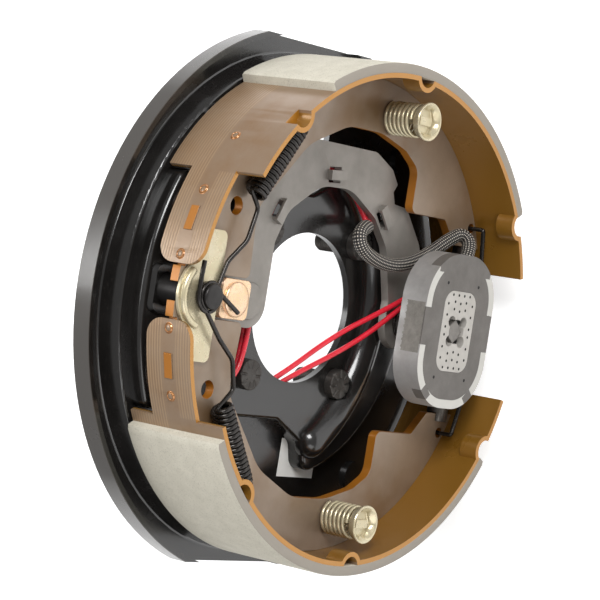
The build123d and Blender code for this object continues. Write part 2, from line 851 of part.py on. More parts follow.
with BuildPart() as adjuster_cap:
    add(
        along_adjuster(
            (
                (fork_end_x, 0),
                (fork_end_x, fork_radius),
                (fork_end_x - fork_length, fork_radius),
                (fork_end_x - fork_length, adjuster_tube_radius),
                (cap_x, adjuster_tube_radius),
                (cap_x, screw_pin_radius + running_clearance),
                (screw_pin_end_x + 1, screw_pin_radius + running_clearance),
                (screw_pin_end_x + 1, 0),
            )
        )
    )
    revolve(axis=adjuster_line)
    add(fork_slot(1), mode=Mode.SUBTRACT)
save(adjuster_cap, "adjuster_cap")

with BuildPart() as adjuster_washer:
    add(
        along_adjuster(
            (
                (washer_x, screw_pin_radius + running_clearance),
                (washer_x, adjuster_tube_radius),
                (washer_x + washer_thickness, adjuster_tube_radius),
                (washer_x + washer_thickness, screw_pin_radius + running_clearance),
            )
        )
    )
    revolve(axis=adjuster_line)
save(adjuster_washer, "adjuster_washer")

with BuildPart() as adjuster_screw:
    add(
        along_adjuster(
            (
                (screw_end_x, 0),
                (screw_end_x, screw_radius - head_chamfer),
                (screw_end_x + head_chamfer, screw_radius),
                (star_x, screw_radius),
                (star_x, star_radius),
                (star_x + star_width, star_radius),
                (star_x + star_width, screw_pin_radius),
                (screw_pin_end_x, screw_pin_radius),
                (screw_pin_end_x, 0),
            )
        )
    )
    revolve(axis=adjuster_line)
    with BuildSketch(Plane((star_x, -web_mid, adjuster_z), x_dir=(0, 1, 0), z_dir=(1, 0, 0))):
        with PolarLocations(star_radius, star_teeth):
            Rectangle(2 * star_tooth_depth, star_tooth_depth)
    extrude(amount=star_width, mode=Mode.SUBTRACT)
save(adjuster_screw, "adjuster_screw")

coil_left = place(adjuster_spring_start, adjuster_spring_z, adjuster_spring_height)
coil_right = place(adjuster_spring_end, adjuster_spring_z, adjuster_spring_height)
adjuster_coil = coil(
    coil_left,
    coil_right,
    adjuster_spring_radius,
    adjuster_spring_radius,
    wire_radius,
    adjuster_spring_turns,
)
with BuildPart() as adjuster_spring:
    add(adjuster_coil)
    for side, start in ((-1, coil_left), (1, coil_right)):
        top = place(side * adjuster_hole[0], adjuster_hole[1], adjuster_spring_height)
        foot = place(side * adjuster_hole[0], adjuster_hole[1], web_back - 1)
        edge = start + Vector(0, 0, adjuster_spring_radius - wire_radius)
        with BuildLine() as arm_path:
            FilletPolyline(edge, top, foot, radius=2 * wire_radius)
        with BuildSketch(arm_path.line ^ 0):
            Circle(wire_radius)
        sweep(path=arm_path.line)
save(adjuster_spring, "adjuster_spring")

# Actuating lever with its wire straps, and the block that pushes the shoes
lever_corners = (
    (-lever_half_width, 86, 3),
    (-lever_half_width + 5, lever_top, 4),
    (lever_half_width - 2, lever_top, 4),
    (lever_half_width + 3, 79, 6),
    (60, 62, 10),
    (83, 27, 16),
    (83, -24, 8),
    (76, -39, 3),
    (69, -45, 1),
    (65, -42.5, 1),
    (59, -45, 1),
    (58, -56, 5),
    (40, -72, 12),
    (4, magnet_z - lever_eye_radius, 3),
    (-lever_eye_radius, magnet_z - lever_eye_radius, lever_eye_radius - 1),
    (-lever_eye_radius, magnet_z + lever_eye_radius, lever_eye_radius - 1),
    (10, magnet_z + lever_eye_radius, 6),
    (36, -44, 14),
    (50, -31, 18),
    (62, -8, 26),
    (61, 16, 26),
    (46, 38, 14),
    (30, pivot_z - lever_half_width, 6),
    (-lever_half_width, pivot_z - lever_half_width, lever_half_width - 1),
)
with BuildPart() as actuating_lever:
    with BuildSketch(at_height(lever_back)):
        add(rounded_outline(lever_corners))
    extrude(amount=lever_thickness)
    for x, z, turn in strap_places:
        with BuildSketch(at_height(lever_front)):
            with Locations(Location((x, z, 0), (0, 0, turn))):
                Rectangle(strap_length, strap_width)
        extrude(amount=strap_rise)
        with BuildSketch(at_height(lever_back)):
            with Locations(Location((x, z, 0), (0, 0, turn))):
                Rectangle(strap_length - 2 * strap_thickness, strap_width + 2 * strap_thickness)
        extrude(amount=lever_thickness + strap_rise - strap_thickness, mode=Mode.SUBTRACT)
    with BuildSketch(at_height(lever_back)):
        with Locations((0, pivot_z)):
            Circle(pivot_radius + running_clearance)
        with Locations((0, magnet_z)):
            Circle(magnet_post_radius + press_clearance)
    extrude(amount=lever_thickness, mode=Mode.SUBTRACT)
save(actuating_lever, "actuating_lever")

with BuildPart() as lever_block:
    with BuildSketch(at_height(lever_front)):
        with Locations((0, block_z)):
            RectangleRounded(block_width, block_height, block_corner)
        with Locations((0, pivot_z)):
            Circle(pivot_head_radius + side_clearance, mode=Mode.SUBTRACT)
    extrude(amount=block_front - lever_front)
save(lever_block, "lever_block")

with BuildPart() as block_rivet:
    with BuildSketch(at_height(block_front)):
        with Locations((0, block_z)):
            Circle(block_head_radius)
    extrude(amount=block_head_thickness)
    fillet(block_rivet.faces().sort_by(Axis.Y)[0].edges(), block_head_thickness / 2)
save(block_rivet, "block_rivet")

with BuildPart() as magnet_post:
    with BuildSketch(at_height(lever_back)):
        with Locations((0, magnet_z)):
            Circle(magnet_post_radius)
    extrude(amount=magnet_post_front - lever_back)
    with BuildSketch(at_height(magnet_post_front - magnet_post_head)):
        with Locations(Location((0, magnet_z, 0), (0, 0, 45))):
            Rectangle(magnet_post_side, magnet_post_side)
    extrude(amount=magnet_post_head)
save(magnet_post, "magnet_post")

with BuildPart() as magnet_spring:
    add(
        coil(
            place(0, magnet_z, lever_front),
            place(0, magnet_z, magnet_back - magnet_travel - side_clearance),
            magnet_spring_wide,
            magnet_spring_narrow,
            wire_radius,
            magnet_spring_turns,
        )
    )
save(magnet_spring, "magnet_spring")

# Magnet: the case, its winding, the friction face with its lugs, and the core
post_bore = magnet_post_radius + running_clearance
inner_width, inner_height = magnet_width - 2 * case_wall, magnet_height - 2 * case_wall


def rim_windows(play):
    """Windows in the magnet case's rim, less a play all round, about the magnet's centre."""
    corner_side = corner_window_side - 2 * play
    with BuildSketch() as windows:
        with Locations((side_window_x, 0)):
            Rectangle(side_window_width - 2 * play, 2 * magnet_height)
        with Locations((end_window_x + play, 0)):
            Rectangle(magnet_width, end_window_height - 2 * play, align=(Align.MIN, Align.CENTER))
        for side in (-1, 1):
            with Locations(Location((corner_window_x, side * corner_window_z, 0), (0, 0, 45))):
                Rectangle(corner_side, corner_side)
    return windows.sketch


with BuildPart() as magnet_case:
    with BuildSketch(at_height(magnet_back)):
        with Locations((0, magnet_z)):
            RectangleRounded(magnet_width, magnet_height, magnet_round)
    extrude(amount=magnet_thickness)
    with BuildSketch(at_height(magnet_back + case_floor)):
        with Locations((0, magnet_z)):
            RectangleRounded(inner_width, inner_height, magnet_round - case_wall)
    extrude(amount=magnet_thickness, mode=Mode.SUBTRACT)
    with BuildSketch(at_height(magnet_front - rim_window_depth)):
        with Locations((0, magnet_z)):
            add(rim_windows(0))
    extrude(amount=rim_window_depth, mode=Mode.SUBTRACT)
    with BuildSketch(at_height(magnet_back)):
        with Locations((0, magnet_z)):
            Circle(post_bore)
    extrude(amount=case_floor, mode=Mode.SUBTRACT)
save(magnet_case, "magnet_case")

with BuildPart() as magnet_friction_face:
    with BuildSketch(at_height(magnet_front - rim_window_depth)):
        with Locations((0, magnet_z)):
            add(rim_windows(fit_clearance))
            RectangleRounded(
                inner_width - 2 * fit_clearance,
                inner_height - 2 * fit_clearance,
                magnet_round - case_wall - fit_clearance,
            )
            RectangleRounded(magnet_width, magnet_height, magnet_round, mode=Mode.INTERSECT)
            RectangleRounded(
                insert_width + 2 * fit_clearance,
                insert_height + 2 * fit_clearance,
                insert_round + fit_clearance,
                mode=Mode.SUBTRACT,
            )
    extrude(amount=rim_window_depth)
save(magnet_friction_face, "magnet_friction_face")

with BuildPart() as magnet_core:
    with BuildSketch(at_height(magnet_back + case_floor)):
        with Locations((0, magnet_z)):
            RectangleRounded(insert_width, insert_height, insert_round)
            Circle(post_bore, mode=Mode.SUBTRACT)
    extrude(amount=magnet_thickness - case_floor)
    with BuildSketch(at_height(core_seat)):
        with Locations((0, magnet_z)):
            Circle(post_opening_radius)
            with PolarLocations(lobe_reach * sqrt(2), 4, start_angle=45):
                Circle(lobe_radius)
    extrude(amount=magnet_front - core_seat, mode=Mode.SUBTRACT)
save(magnet_core, "magnet_core")

with BuildPart() as magnet_coil:
    with BuildSketch(at_height(magnet_back + case_floor)):
        with Locations((0, magnet_z)):
            RectangleRounded(
                inner_width - 2 * side_clearance,
                inner_height - 2 * side_clearance,
                magnet_round - case_wall - side_clearance,
            )
            RectangleRounded(
                insert_width + 2 * side_clearance,
                insert_height + 2 * side_clearance,
                insert_round + side_clearance,
                mode=Mode.SUBTRACT,
            )
    extrude(amount=magnet_thickness - case_floor - rim_window_depth - side_clearance)
save(magnet_coil, "magnet_coil")

# Grommet and plug of the plate
with BuildPart() as wire_grommet:
    with BuildSketch(Plane((grommet_x, 0, grommet_z))):
        add(
            half_section(
                (
                    (0, -grommet_lip),
                    (grommet_flange, -grommet_lip),
                    (grommet_flange, 0),
                    (grommet_waist, 0),
                    (grommet_waist, sheet),
                    (grommet_flange, sheet),
                    (grommet_flange - 1, sheet + grommet_lip),
                    (0, sheet + grommet_lip),
                )
            )
        )
    revolve(axis=turning_axis(grommet_x, grommet_z))
save(wire_grommet, "wire_grommet")

with BuildPart() as adjusting_slot_plug:
    plug_lip = slot_plug_lip
    with BuildSketch(at_height(-floor_depth - sheet)):
        with Locations((slot_x, slot_z)):
            SlotOverall(slot_width - 2 * fit_clearance, slot_height - 2 * fit_clearance)
    extrude(amount=sheet)
    with BuildSketch(at_height(-floor_depth - sheet)):
        with Locations((slot_x, slot_z)):
            SlotOverall(slot_width + 2 * plug_lip, slot_height + 2 * plug_lip)
    extrude(amount=-plug_lip)
save(adjusting_slot_plug, "adjusting_slot_plug")

# Leads on the plate and on the lever, as points of X, Z and height
grommet_front = sheet + grommet_lip
near_height = lead_under_lever
far_height = near_height - lead_pitch
plate_routes = (
    (
        (grommet_x + 2, grommet_z, grommet_front),
        (grommet_x + 2, grommet_z, near_height),
        (-36, 51, near_height),
        (-22, 47.5, near_height),
        (-4, 47.4, near_height),
    ),
    (
        (grommet_x - 2, grommet_z, grommet_front),
        (grommet_x - 2, grommet_z, far_height),
        (-38, 50.3, far_height),
        (-23, 47.3, far_height),
        (-4, 47.4, far_height),
    ),
)
lever_routes = (
    (
        (4, 47.4, near_height),
        (26, 48, near_height),
        (46, 45, near_height),
        (60, 33, near_height),
        (67, 15, near_height),
        (67, -4, near_height),
        (59, -20, near_height),
        (52, -27.3, near_height),
        (48, -29.2, 12.3),
        (47.9, -28.3, 16.4),
        (47, -24.1, 17.9),
    ),
    (
        (4, 47.4, far_height),
        (26, 49.5, far_height + 0.2),
        (48, 47.5, near_height - 1),
        (63, 34.5, near_height),
        (70, 15, near_height),
        (70, -6, near_height),
        (61.5, -22, near_height),
        (53.5, -29.8, near_height),
        (46.6, -32, 11.2),
        (45.2, -30.4, 15.3),
        (44.2, -24.9, 17.9),
    ),
)
for name, routes in (("plate_lead", plate_routes), ("lever_lead", lever_routes)):
    for number, route in enumerate(routes, 1):
        with BuildPart() as held_lead:
            add(lead([place(*point) for point in route], lead_radius))
        save(held_lead, f"{name}_{number}")

sleeve_route = (
    (45.5, -24, 18),
    (43, -15, 20),
    (34, -16, 22),
    (28.4, -29, 24),
    (28, -45, 26.3),
    (36.5, -66.5, 27),
    (46, -76, 31.3),
    (50.5, -83, 34.5),
    (44.8, -85.2, 39.6),
    (37.6, -81.4, 40.2),
)
with BuildPart() as lead_sleeve:
    add(lead([place(*point) for point in sleeve_route], sleeve_radius))
save(lead_sleeve, "lead_sleeve")

# Free outlet leads, from the grommet's back through the spindle hole to behind the magnet
outlet_routes = (
    (
        (grommet_x + 2, grommet_z, -grommet_lip),
        (grommet_x + 2, grommet_z, -9),
        (-47, 55, -14.5),
        (-52, 39, -17),
        (-50, 20, -12),
        (-35.5, 3.5, -1),
        (-11, -24, 8.5),
        (4, -46, 18.5),
        (12, -59, 21.5),
    ),
    (
        (grommet_x - 2, grommet_z, -grommet_lip),
        (grommet_x - 2, grommet_z, -8),
        (-51, 54, -12.5),
        (-56, 38, -14.5),
        (-53, 18, -13.5),
        (-44, 5, -6),
        (-35.3, -4.5, -1),
        (-17, -31, 11),
        (-1, -49.5, 18.5),
        (8.5, -59.5, 21.3),
    ),
)
for number, route in enumerate(outlet_routes, 1):
    points = [place(*point) for point in route]
    with BuildPart() as outlet_lead:
        add(lead(points, lead_radius))
    save(outlet_lead, f"outlet_lead_{number}")
    length = outlet_lead.part.volume / (pi * lead_radius**2)
    print(f"outlet lead {number}: length {length:.1f}, radii", [round(r, 1) for r in bend_radii(points)])
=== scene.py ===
"""Electric trailer brake assembly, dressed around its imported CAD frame.

Every piece is in metres in the CAD frame: Z up towards the anchor post, the brake axis
along Y and the open side towards -Y. The classes give their sizes in millimetres, and a
height is measured forward of the mounting face, so it is -Y.
"""

import logging
from dataclasses import dataclass
from enum import Enum
from itertools import accumulate
from math import cos, pi, radians
from typing import Any, Sequence

import bmesh
import bpy
import numpy as np
from mathutils import Matrix, Vector


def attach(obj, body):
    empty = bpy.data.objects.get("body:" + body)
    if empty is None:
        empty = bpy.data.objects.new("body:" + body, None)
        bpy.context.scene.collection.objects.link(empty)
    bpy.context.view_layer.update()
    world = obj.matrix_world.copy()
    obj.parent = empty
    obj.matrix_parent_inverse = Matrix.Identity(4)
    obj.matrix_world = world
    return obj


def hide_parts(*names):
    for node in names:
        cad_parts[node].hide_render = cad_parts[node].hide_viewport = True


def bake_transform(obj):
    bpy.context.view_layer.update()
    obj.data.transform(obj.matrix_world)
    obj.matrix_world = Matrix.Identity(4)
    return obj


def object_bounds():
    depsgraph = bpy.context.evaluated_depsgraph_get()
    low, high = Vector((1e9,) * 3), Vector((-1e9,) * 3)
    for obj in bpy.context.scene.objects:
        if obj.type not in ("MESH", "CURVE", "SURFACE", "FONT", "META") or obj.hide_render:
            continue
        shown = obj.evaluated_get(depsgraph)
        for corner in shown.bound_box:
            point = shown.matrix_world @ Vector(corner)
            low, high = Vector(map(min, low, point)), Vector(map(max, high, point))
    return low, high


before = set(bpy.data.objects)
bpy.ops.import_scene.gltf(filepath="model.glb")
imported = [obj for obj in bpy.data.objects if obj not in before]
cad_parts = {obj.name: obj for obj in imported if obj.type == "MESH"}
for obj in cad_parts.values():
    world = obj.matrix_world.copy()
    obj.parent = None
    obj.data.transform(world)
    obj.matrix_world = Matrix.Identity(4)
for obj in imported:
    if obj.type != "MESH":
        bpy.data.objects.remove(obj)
cad_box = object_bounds()
log = logging.getLogger("brake")

Tree = bpy.types.NodeTree
Socket = bpy.types.NodeSocket
Piece = bpy.types.Object
Route = Sequence[tuple[float, float, float]]

MM = 0.001
ANCHOR_Z = 104.0
MAGNET_Z = -66.5
GROMMET = (-46.0, 62.0)
WEB_MID = 24.0
RIDGE_PITCH = 1.6
BRAID_YARNS = 7
BRAID_PITCH = 2.2


def linear(colour: str) -> tuple[float, float, float, float]:
    """Turn an sRGB hex colour into Blender's linear RGBA.

    Args:
        colour: Six hex digits, such as "C8C3B4".

    Returns:
        Red, green, blue and an alpha of one.
    """
    share = np.array([int(colour[i:i + 2], 16) / 255 for i in (0, 2, 4)])
    curve = np.where(share <= 0.04045, share / 12.92, ((share + 0.055) / 1.055) ** 2.4)
    return (*curve.tolist(), 1.0)


def point(x: float, z: float, height: float) -> np.ndarray:
    """Point in metres from X, Z and a height forward of the mounting face, in millimetres."""
    return np.array([x, -height, z], float) * MM


def polar(radius: float, angle: Any) -> tuple[Any, Any]:
    """X and Z at a radius and an angle measured from +Z towards +X, in degrees."""
    return radius * np.sin(np.radians(angle)), radius * np.cos(np.radians(angle))


def add_node(tree: Tree, kind: str, inputs: dict | None = None,
             **settings: Any) -> bpy.types.Node:
    """Add a shader node with its settings and links.

    Args:
        tree: The material's node tree.
        kind: The node's Blender type name.
        inputs: Values or output sockets by input name or number.
        settings: Attributes of the node itself.

    Returns:
        The new node.
    """
    made = tree.nodes.new(kind)
    for name, value in settings.items():
        setattr(made, name, value)
    for name, value in (inputs or {}).items():
        if isinstance(value, Socket):
            tree.links.new(value, made.inputs[name])
        else:
            made.inputs[name].default_value = value
    return made


def calc(tree: Tree, operation: str, *values: Any) -> Socket:
    """Result of one sum on sockets or numbers."""
    return add_node(tree, "ShaderNodeMath", dict(enumerate(values)), operation=operation).outputs[0]


def ramp(tree: Tree, value: Any, start: float, end: float, low: float = 0.0,
         high: float = 1.0) -> Socket:
    """Go evenly from low to high while the value goes from start to end."""
    inputs = {"Value": value, "From Min": start, "From Max": end, "To Min": low, "To Max": high}
    return add_node(tree, "ShaderNodeMapRange", inputs).outputs["Result"]


def noise(tree: Tree, where: Any, size: float, **inputs: float) -> Socket:
    """Noise whose features are about this many millimetres wide."""
    settings = {"Vector": where, "Scale": 1 / (size * MM), **inputs}
    return add_node(tree, "ShaderNodeTexNoise", settings).outputs["Fac"]


def tinted(tree: Tree, mask: Any, under: Any, tint: str) -> Socket:
    """Lay a hex colour over another colour where the mask is one.

    Args:
        tree: The material's node tree.
        mask: Socket with the share of the tint.
        under: The first colour, as a socket or as hex.
        tint: The second colour as hex.

    Returns:
        The mixed colour's socket.
    """
    mix = add_node(tree, "ShaderNodeMix", {0: mask}, data_type="RGBA")
    sockets = {socket.name: socket for socket in mix.inputs if socket.type == "RGBA"}
    if isinstance(under, str):
        sockets["A"].default_value = linear(under)
    else:
        tree.links.new(under, sockets["A"])
    sockets["B"].default_value = linear(tint)
    return mix.outputs[2]


class Pattern(Enum):
    """What a finish adds to its plain surface."""

    PLAIN = "plain"
    RIDGED = "ridged"
    BRAIDED = "braided"
    STAINED = "stained"


@dataclass(frozen=True)
class Finish:
    """A material and how its surface was made. Grains are in millimetres.

    The colour drifts between two tones over blotches, and a fine grain roughens it.
    """

    name: str
    light: str
    dark: str
    metallic: float = 0.0
    roughness: float = 0.5
    roughness_spread: float = 0.1
    blotch: float = 12.0
    grain: float = 0.8
    relief: float = 0.02
    coat: float = 0.0
    coat_roughness: float = 0.1
    pattern: Pattern = Pattern.PLAIN
    accent: str = "000000"
    accent_share: float = 0.0
    sharpness: float = 0.25
    facing: str = ""
    facing_from: float = 0.6
    facing_to: float = 0.8
    band: str = ""
    band_from: float = 0.0
    band_to: float = 0.0

    def material(self) -> bpy.types.Material:
        """Return this finish's material, made on first use."""
        return bpy.data.materials.get(self.name) or self.build()

    def build(self) -> bpy.types.Material:
        """Make the node tree of the finish.

        Returns:
            The new material.
        """
        made = bpy.data.materials.new(self.name)
        made.use_nodes = True
        tree = made.node_tree
        tree.nodes.clear()
        where = add_node(tree, "ShaderNodeTexCoord").outputs["Object"]
        blotches = noise(tree, where, self.blotch, Detail=5.0, Roughness=0.6)
        grains = noise(tree, where, self.grain, Detail=3.0, Roughness=0.65)
        spread = ramp(tree, blotches, 0.5 - self.sharpness, 0.5 + self.sharpness)
        colour = tinted(tree, spread, self.light, self.dark)
        colour, height = self.patterned(tree, where, grains, colour)
        colour = self.zoned(tree, where, colour)
        rough = ramp(tree, blotches, 0.3, 0.7, max(0.03, self.roughness - self.roughness_spread),
                     min(1.0, self.roughness + self.roughness_spread))
        bump = add_node(tree, "ShaderNodeBump",
                        {"Height": height, "Strength": 1.0, "Distance": self.relief * MM})
        shader = add_node(tree, "ShaderNodeBsdfPrincipled",
                          {"Base Color": colour, "Metallic": self.metallic, "Roughness": rough,
                           "Normal": bump.outputs["Normal"], "Coat Weight": self.coat,
                           "Coat Roughness": self.coat_roughness})
        add_node(tree, "ShaderNodeOutputMaterial", {"Surface": shader.outputs["BSDF"]})
        return made

    def zoned(self, tree: Tree, where: Any, colour: Any) -> Any:
        """Colour a ring between two radii, and the faces across or along the brake axis.

        Args:
            tree: The material's node tree.
            where: Object coordinates.
            colour: The colour so far.

        Returns:
            The new colour's socket.
        """
        # On the enamel this ring is a painted reflection along the rim
        if self.band:
            flat = add_node(tree, "ShaderNodeVectorMath", {0: where, 1: (1.0, 0.0, 1.0)},
                            operation="MULTIPLY")
            reach = add_node(tree, "ShaderNodeVectorMath", {0: flat.outputs["Vector"]}, operation="LENGTH")
            mask = ramp(tree, reach.outputs["Value"], self.band_from * MM, self.band_to * MM)
            colour = tinted(tree, mask, colour, self.band)
        # On the shoe steel this edge colour is partly varnish and partly a painted highlight
        if self.facing:
            normal = add_node(tree, "ShaderNodeTexCoord").outputs["Normal"]
            split = add_node(tree, "ShaderNodeSeparateXYZ", {"Vector": normal}).outputs
            mask = ramp(tree, calc(tree, "ABSOLUTE", split["Y"]), self.facing_from, self.facing_to)
            colour = tinted(tree, mask, colour, self.facing)
        return colour

    def patterned(self, tree: Tree, where: Any, grains: Any, colour: Any) -> tuple[Any, Any]:
        """Add the finish's own pattern to its colour and relief.

        Args:
            tree: The material's node tree.
            where: Object coordinates.
            grains: Socket with the fine noise, which is the relief of a plain surface.
            colour: The colour so far.

        Returns:
            The new colour and relief sockets.
        """
        if self.accent_share:
            mask = ramp(tree, grains, 0.62 - 0.15 * self.accent_share, 0.70 - 0.1 * self.accent_share,
                        0.0, min(1.0, self.accent_share))
            colour = tinted(tree, mask, colour, self.accent)
        if self.pattern is Pattern.RIDGED:
            return self.ridged(tree, where, colour)
        if self.pattern is Pattern.BRAIDED:
            return self.braided(tree, colour)
        if self.pattern is Pattern.STAINED:
            pools = noise(tree, where, 38, Detail=3.0)
            colour = tinted(tree, ramp(tree, pools, 0.48, 0.66, 0.0, 0.75), colour, self.accent)
        return colour, grains

    def ridged(self, tree: Tree, where: Any, colour: Any) -> tuple[Any, Any]:
        """Rolled ridges round a shoe table: over the tongue, and behind the web all along, each with a
        painted highlight along its crest.

        Args:
            tree: The material's node tree.
            where: Object coordinates.
            colour: The colour so far.

        Returns:
            The new colour and relief sockets.
        """
        split = add_node(tree, "ShaderNodeSeparateXYZ", {"Vector": where}).outputs
        wave = calc(tree, "SINE", calc(tree, "MULTIPLY", split["Y"], 2 * pi / (RIDGE_PITCH * MM)))
        from_web = calc(tree, "ADD", split["Y"], WEB_MID * MM)
        beside = ramp(tree, calc(tree, "ABSOLUTE", from_web), 3.5 * MM, 5.0 * MM)
        behind = ramp(tree, from_web, 3.5 * MM, 5.0 * MM)
        tongue = ramp(tree, calc(tree, "ABSOLUTE", split["X"]), 58.0 * MM, 57.0 * MM)
        upper = calc(tree, "GREATER_THAN", split["Z"], 0.0)
        shown = calc(tree, "MULTIPLY", beside, calc(tree, "MULTIPLY", tongue, upper))
        zone = calc(tree, "MAXIMUM", shown, behind)
        lines = calc(tree, "MULTIPLY", ramp(tree, wave, -1.0, 1.0), zone)
        # The pale tint along the ridge crests is a painted highlight
        return tinted(tree, calc(tree, "MULTIPLY", lines, 0.45), colour, self.accent), lines

    def braided(self, tree: Tree, colour: Any) -> tuple[Any, Any]:
        """Crossing yarns that follow the piece's own map, with pale tracer flecks.

        Args:
            tree: The material's node tree.
            colour: The colour so far.

        Returns:
            The new colour and relief sockets.
        """
        around = add_node(tree, "ShaderNodeUVMap", uv_map="around").outputs["UV"]
        split = add_node(tree, "ShaderNodeSeparateXYZ", {"Vector": around}).outputs
        waves = []
        for sign in (1, -1):
            turned = calc(tree, "MULTIPLY", split["X"], sign * BRAID_YARNS)
            slanted = calc(tree, "MULTIPLY_ADD", split["Y"], 1 / BRAID_PITCH, turned)
            waves.append(calc(tree, "SINE", calc(tree, "MULTIPLY", slanted, 2 * pi)))
        crossed = calc(tree, "MULTIPLY", *waves)
        fleck = ramp(tree, crossed, 0.35, 0.75, 0.0, 0.85)
        return tinted(tree, fleck, colour, self.accent), crossed


# Deep-drawn steel with stoving enamel: black, glossy, with dust in its hollows; the grey ring on the rim is a
# painted reflection
ENAMEL = Finish("black_stoving_enamel", "141312", "1E1C1B", 0.0, 0.22, 0.08, 25, 1.6, 0.012, coat=0.35,
                coat_roughness=0.12, accent="5A544E", accent_share=0.10, band="4A4744",
                band_from=137.2, band_to=137.7)
# Cold-rolled lever steel, only oiled: even grey with faint rolling stains
LEVER_STEEL = Finish("oiled_mild_steel", "8E8983", "7C7872", 0.45, 0.46, 0.08, 16, 0.9, 0.010,
                     pattern=Pattern.STAINED, accent="706B66")
# Rolled shoe steel under a dip of thin amber varnish, which pools brown; the orange on the edges is partly
# varnish and partly a painted highlight
WEB_VARNISH = Finish("varnished_web_steel", "8B7A68", "7A6856", 0.3, 0.42, 0.1, 30, 1.2, 0.012, coat=0.35,
                     coat_roughness=0.25, pattern=Pattern.STAINED, accent="6E512F", facing="A8691A",
                     facing_from=0.5, facing_to=0.3)
# Ridged table: its pale accent on the ridge crests is a painted highlight
TABLE_VARNISH = Finish("varnished_ridged_table", "94806C", "86684A", 0.3, 0.36, 0.1, 26, 1.0, 0.08, coat=0.4,
                       coat_roughness=0.2, pattern=Pattern.RIDGED, accent="B89A78", facing="A5701C",
                       band="8A6120", band_from=119.6, band_to=119.2)
WELD_VARNISH = Finish("varnished_spot_weld", "B98452", "8C5420", 0.5, 0.28, 0.08, 4, 0.7, 0.02, coat=0.5,
                      coat_roughness=0.12)
# Moulded friction composite: pale, chalky, with chopped fibre and dark flecks; its cut sides are darker
LINING = Finish("moulded_friction_composite", "CBC6B7", "BDB8A9", 0.0, 0.85, 0.08, 7, 0.75, 0.09,
                accent="8A8578", accent_share=0.45, facing="918A80")
# Yellow chromate over bright zinc: straw gold with rosy and green shimmer
YELLOW_ZINC = Finish("yellow_zinc_plate", "C8BFA4", "B9AE8C", 0.5, 0.28, 0.08, 9, 0.7, 0.008,
                     accent="C9A592", accent_share=0.4)
ROSY_ZINC = Finish("rosy_zinc_plate", "E8C8AC", "DDBE8E", 0.5, 0.28, 0.08, 6, 0.7, 0.008,
                   accent="DFA39A", accent_share=0.6)
# Oil-blackened spring wire and pins
BLACK_OXIDE = Finish("black_oxide_wire", "3E3B39", "2A2826", 0.8, 0.27, 0.06, 6, 0.5, 0.006)
POST_BLACK = Finish("black_oxide_post", "302E2D", "1F1D1C", 0.6, 0.38, 0.08, 4, 0.5, 0.010)
# Phosphated studs and adjuster: dark satin grey
STUD_STEEL = Finish("phosphated_stud_steel", "4A4744", "35322F", 0.6, 0.46, 0.1, 5, 0.6, 0.015,
                    accent="6E6862", accent_share=0.3)
ADJUSTER_STEEL = Finish("dark_adjuster_steel", "5E5A55", "45413D", 0.7, 0.38, 0.1, 5, 0.6, 0.010,
                        accent="8A8279", accent_share=0.3)
# Magnet: a drawn case with a ground rim, a sintered iron face, a bright pressed core and a grey post
CASE_STEEL = Finish("drawn_case_steel", "A9A7A6", "93918E", 0.35, 0.48, 0.1, 9, 0.6, 0.014, facing="BDBBB5")
CASE_PATCH = Finish("scuffed_case_patch", "8A8680", "75726C", 0.3, 0.62, 0.08, 3, 0.5, 0.03, accent="9E9A93",
                    accent_share=0.4)
SINTER_IRON = Finish("sintered_iron_face", "6A6662", "5F5B57", 0.2, 0.62, 0.06, 8, 0.55, 0.03,
                     accent="5A5753", accent_share=0.3)
CORE_METAL = Finish("pressed_core_metal", "B4B0AA", "A8A49E", 0.25, 0.55, 0.08, 6, 0.6, 0.03,
                    accent="A39F97", accent_share=0.4)
POST_STEEL = Finish("pale_post_steel", "7E7A75", "6C6864", 0.4, 0.5, 0.08, 4, 0.5, 0.010)
COPPER = Finish("enamelled_copper_winding", "8A4A22", "6E3A1A", 0.5, 0.4, 0.08, 4, 0.5, 0.02)
# Extruded PVC insulation: red and glossy
RED_PVC = Finish("red_pvc_insulation", "DC2438", "C81B2C", 0.0, 0.28, 0.05, 10, 1.0, 0.004, coat=0.3)
# Braided glass sleeve, lacquered black, with pale tracer flecks
BRAID = Finish("black_braided_sleeve", "1B1918", "252220", 0.0, 0.5, 0.08, 4, 0.5, 0.16,
               pattern=Pattern.BRAIDED, accent="D8D0C4")
RUBBER = Finish("moulded_black_rubber", "1C1B1B", "242322", 0.0, 0.62, 0.06, 8, 0.8, 0.02)
PAPER = Finish("blank_paper_sticker", "E9E8E4", "DDDBD6", 0.0, 0.6, 0.05, 20, 0.6, 0.01)
# Near-black flat discs that paint the shade in dimples, holes and lobes
PAINTED_HOLE_SHADE = Finish("shadowed_bore", "1A1918", "141312", 0.0, 0.9, 0.02, 4, 0.5, 0.0)


def link(data: bpy.types.ID, name: str) -> Piece:
    """Put a mesh, curve, lamp or camera into the scene as an object of that name."""
    piece = bpy.data.objects.new(name, data)
    bpy.context.scene.collection.objects.link(piece)
    return piece


def settle(piece: Piece, finish: Finish, body: str, replaced: Sequence[str] = (),
           crease: float = 35.0) -> Piece:
    """Give a piece its finish, its body, the nodes it stands for and its smooth shading.

    Args:
        piece: The new object.
        finish: Its finish.
        body: The CAD body it rides on.
        replaced: CAD nodes that it stands for.
        crease: Edges sharper than this many degrees stay sharp.

    Returns:
        The same object.
    """
    piece.data.materials.clear()
    piece.data.materials.append(finish.material())
    if piece.type == "MESH":
        piece.data.shade_smooth()
        piece.data.set_sharp_from_angle(angle=radians(crease))
    if body:
        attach(piece, body)
    if replaced:
        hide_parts(*replaced)
    log.info("%s: %d faces", piece.name, len(piece.data.polygons) if piece.type == "MESH" else 0)
    return piece


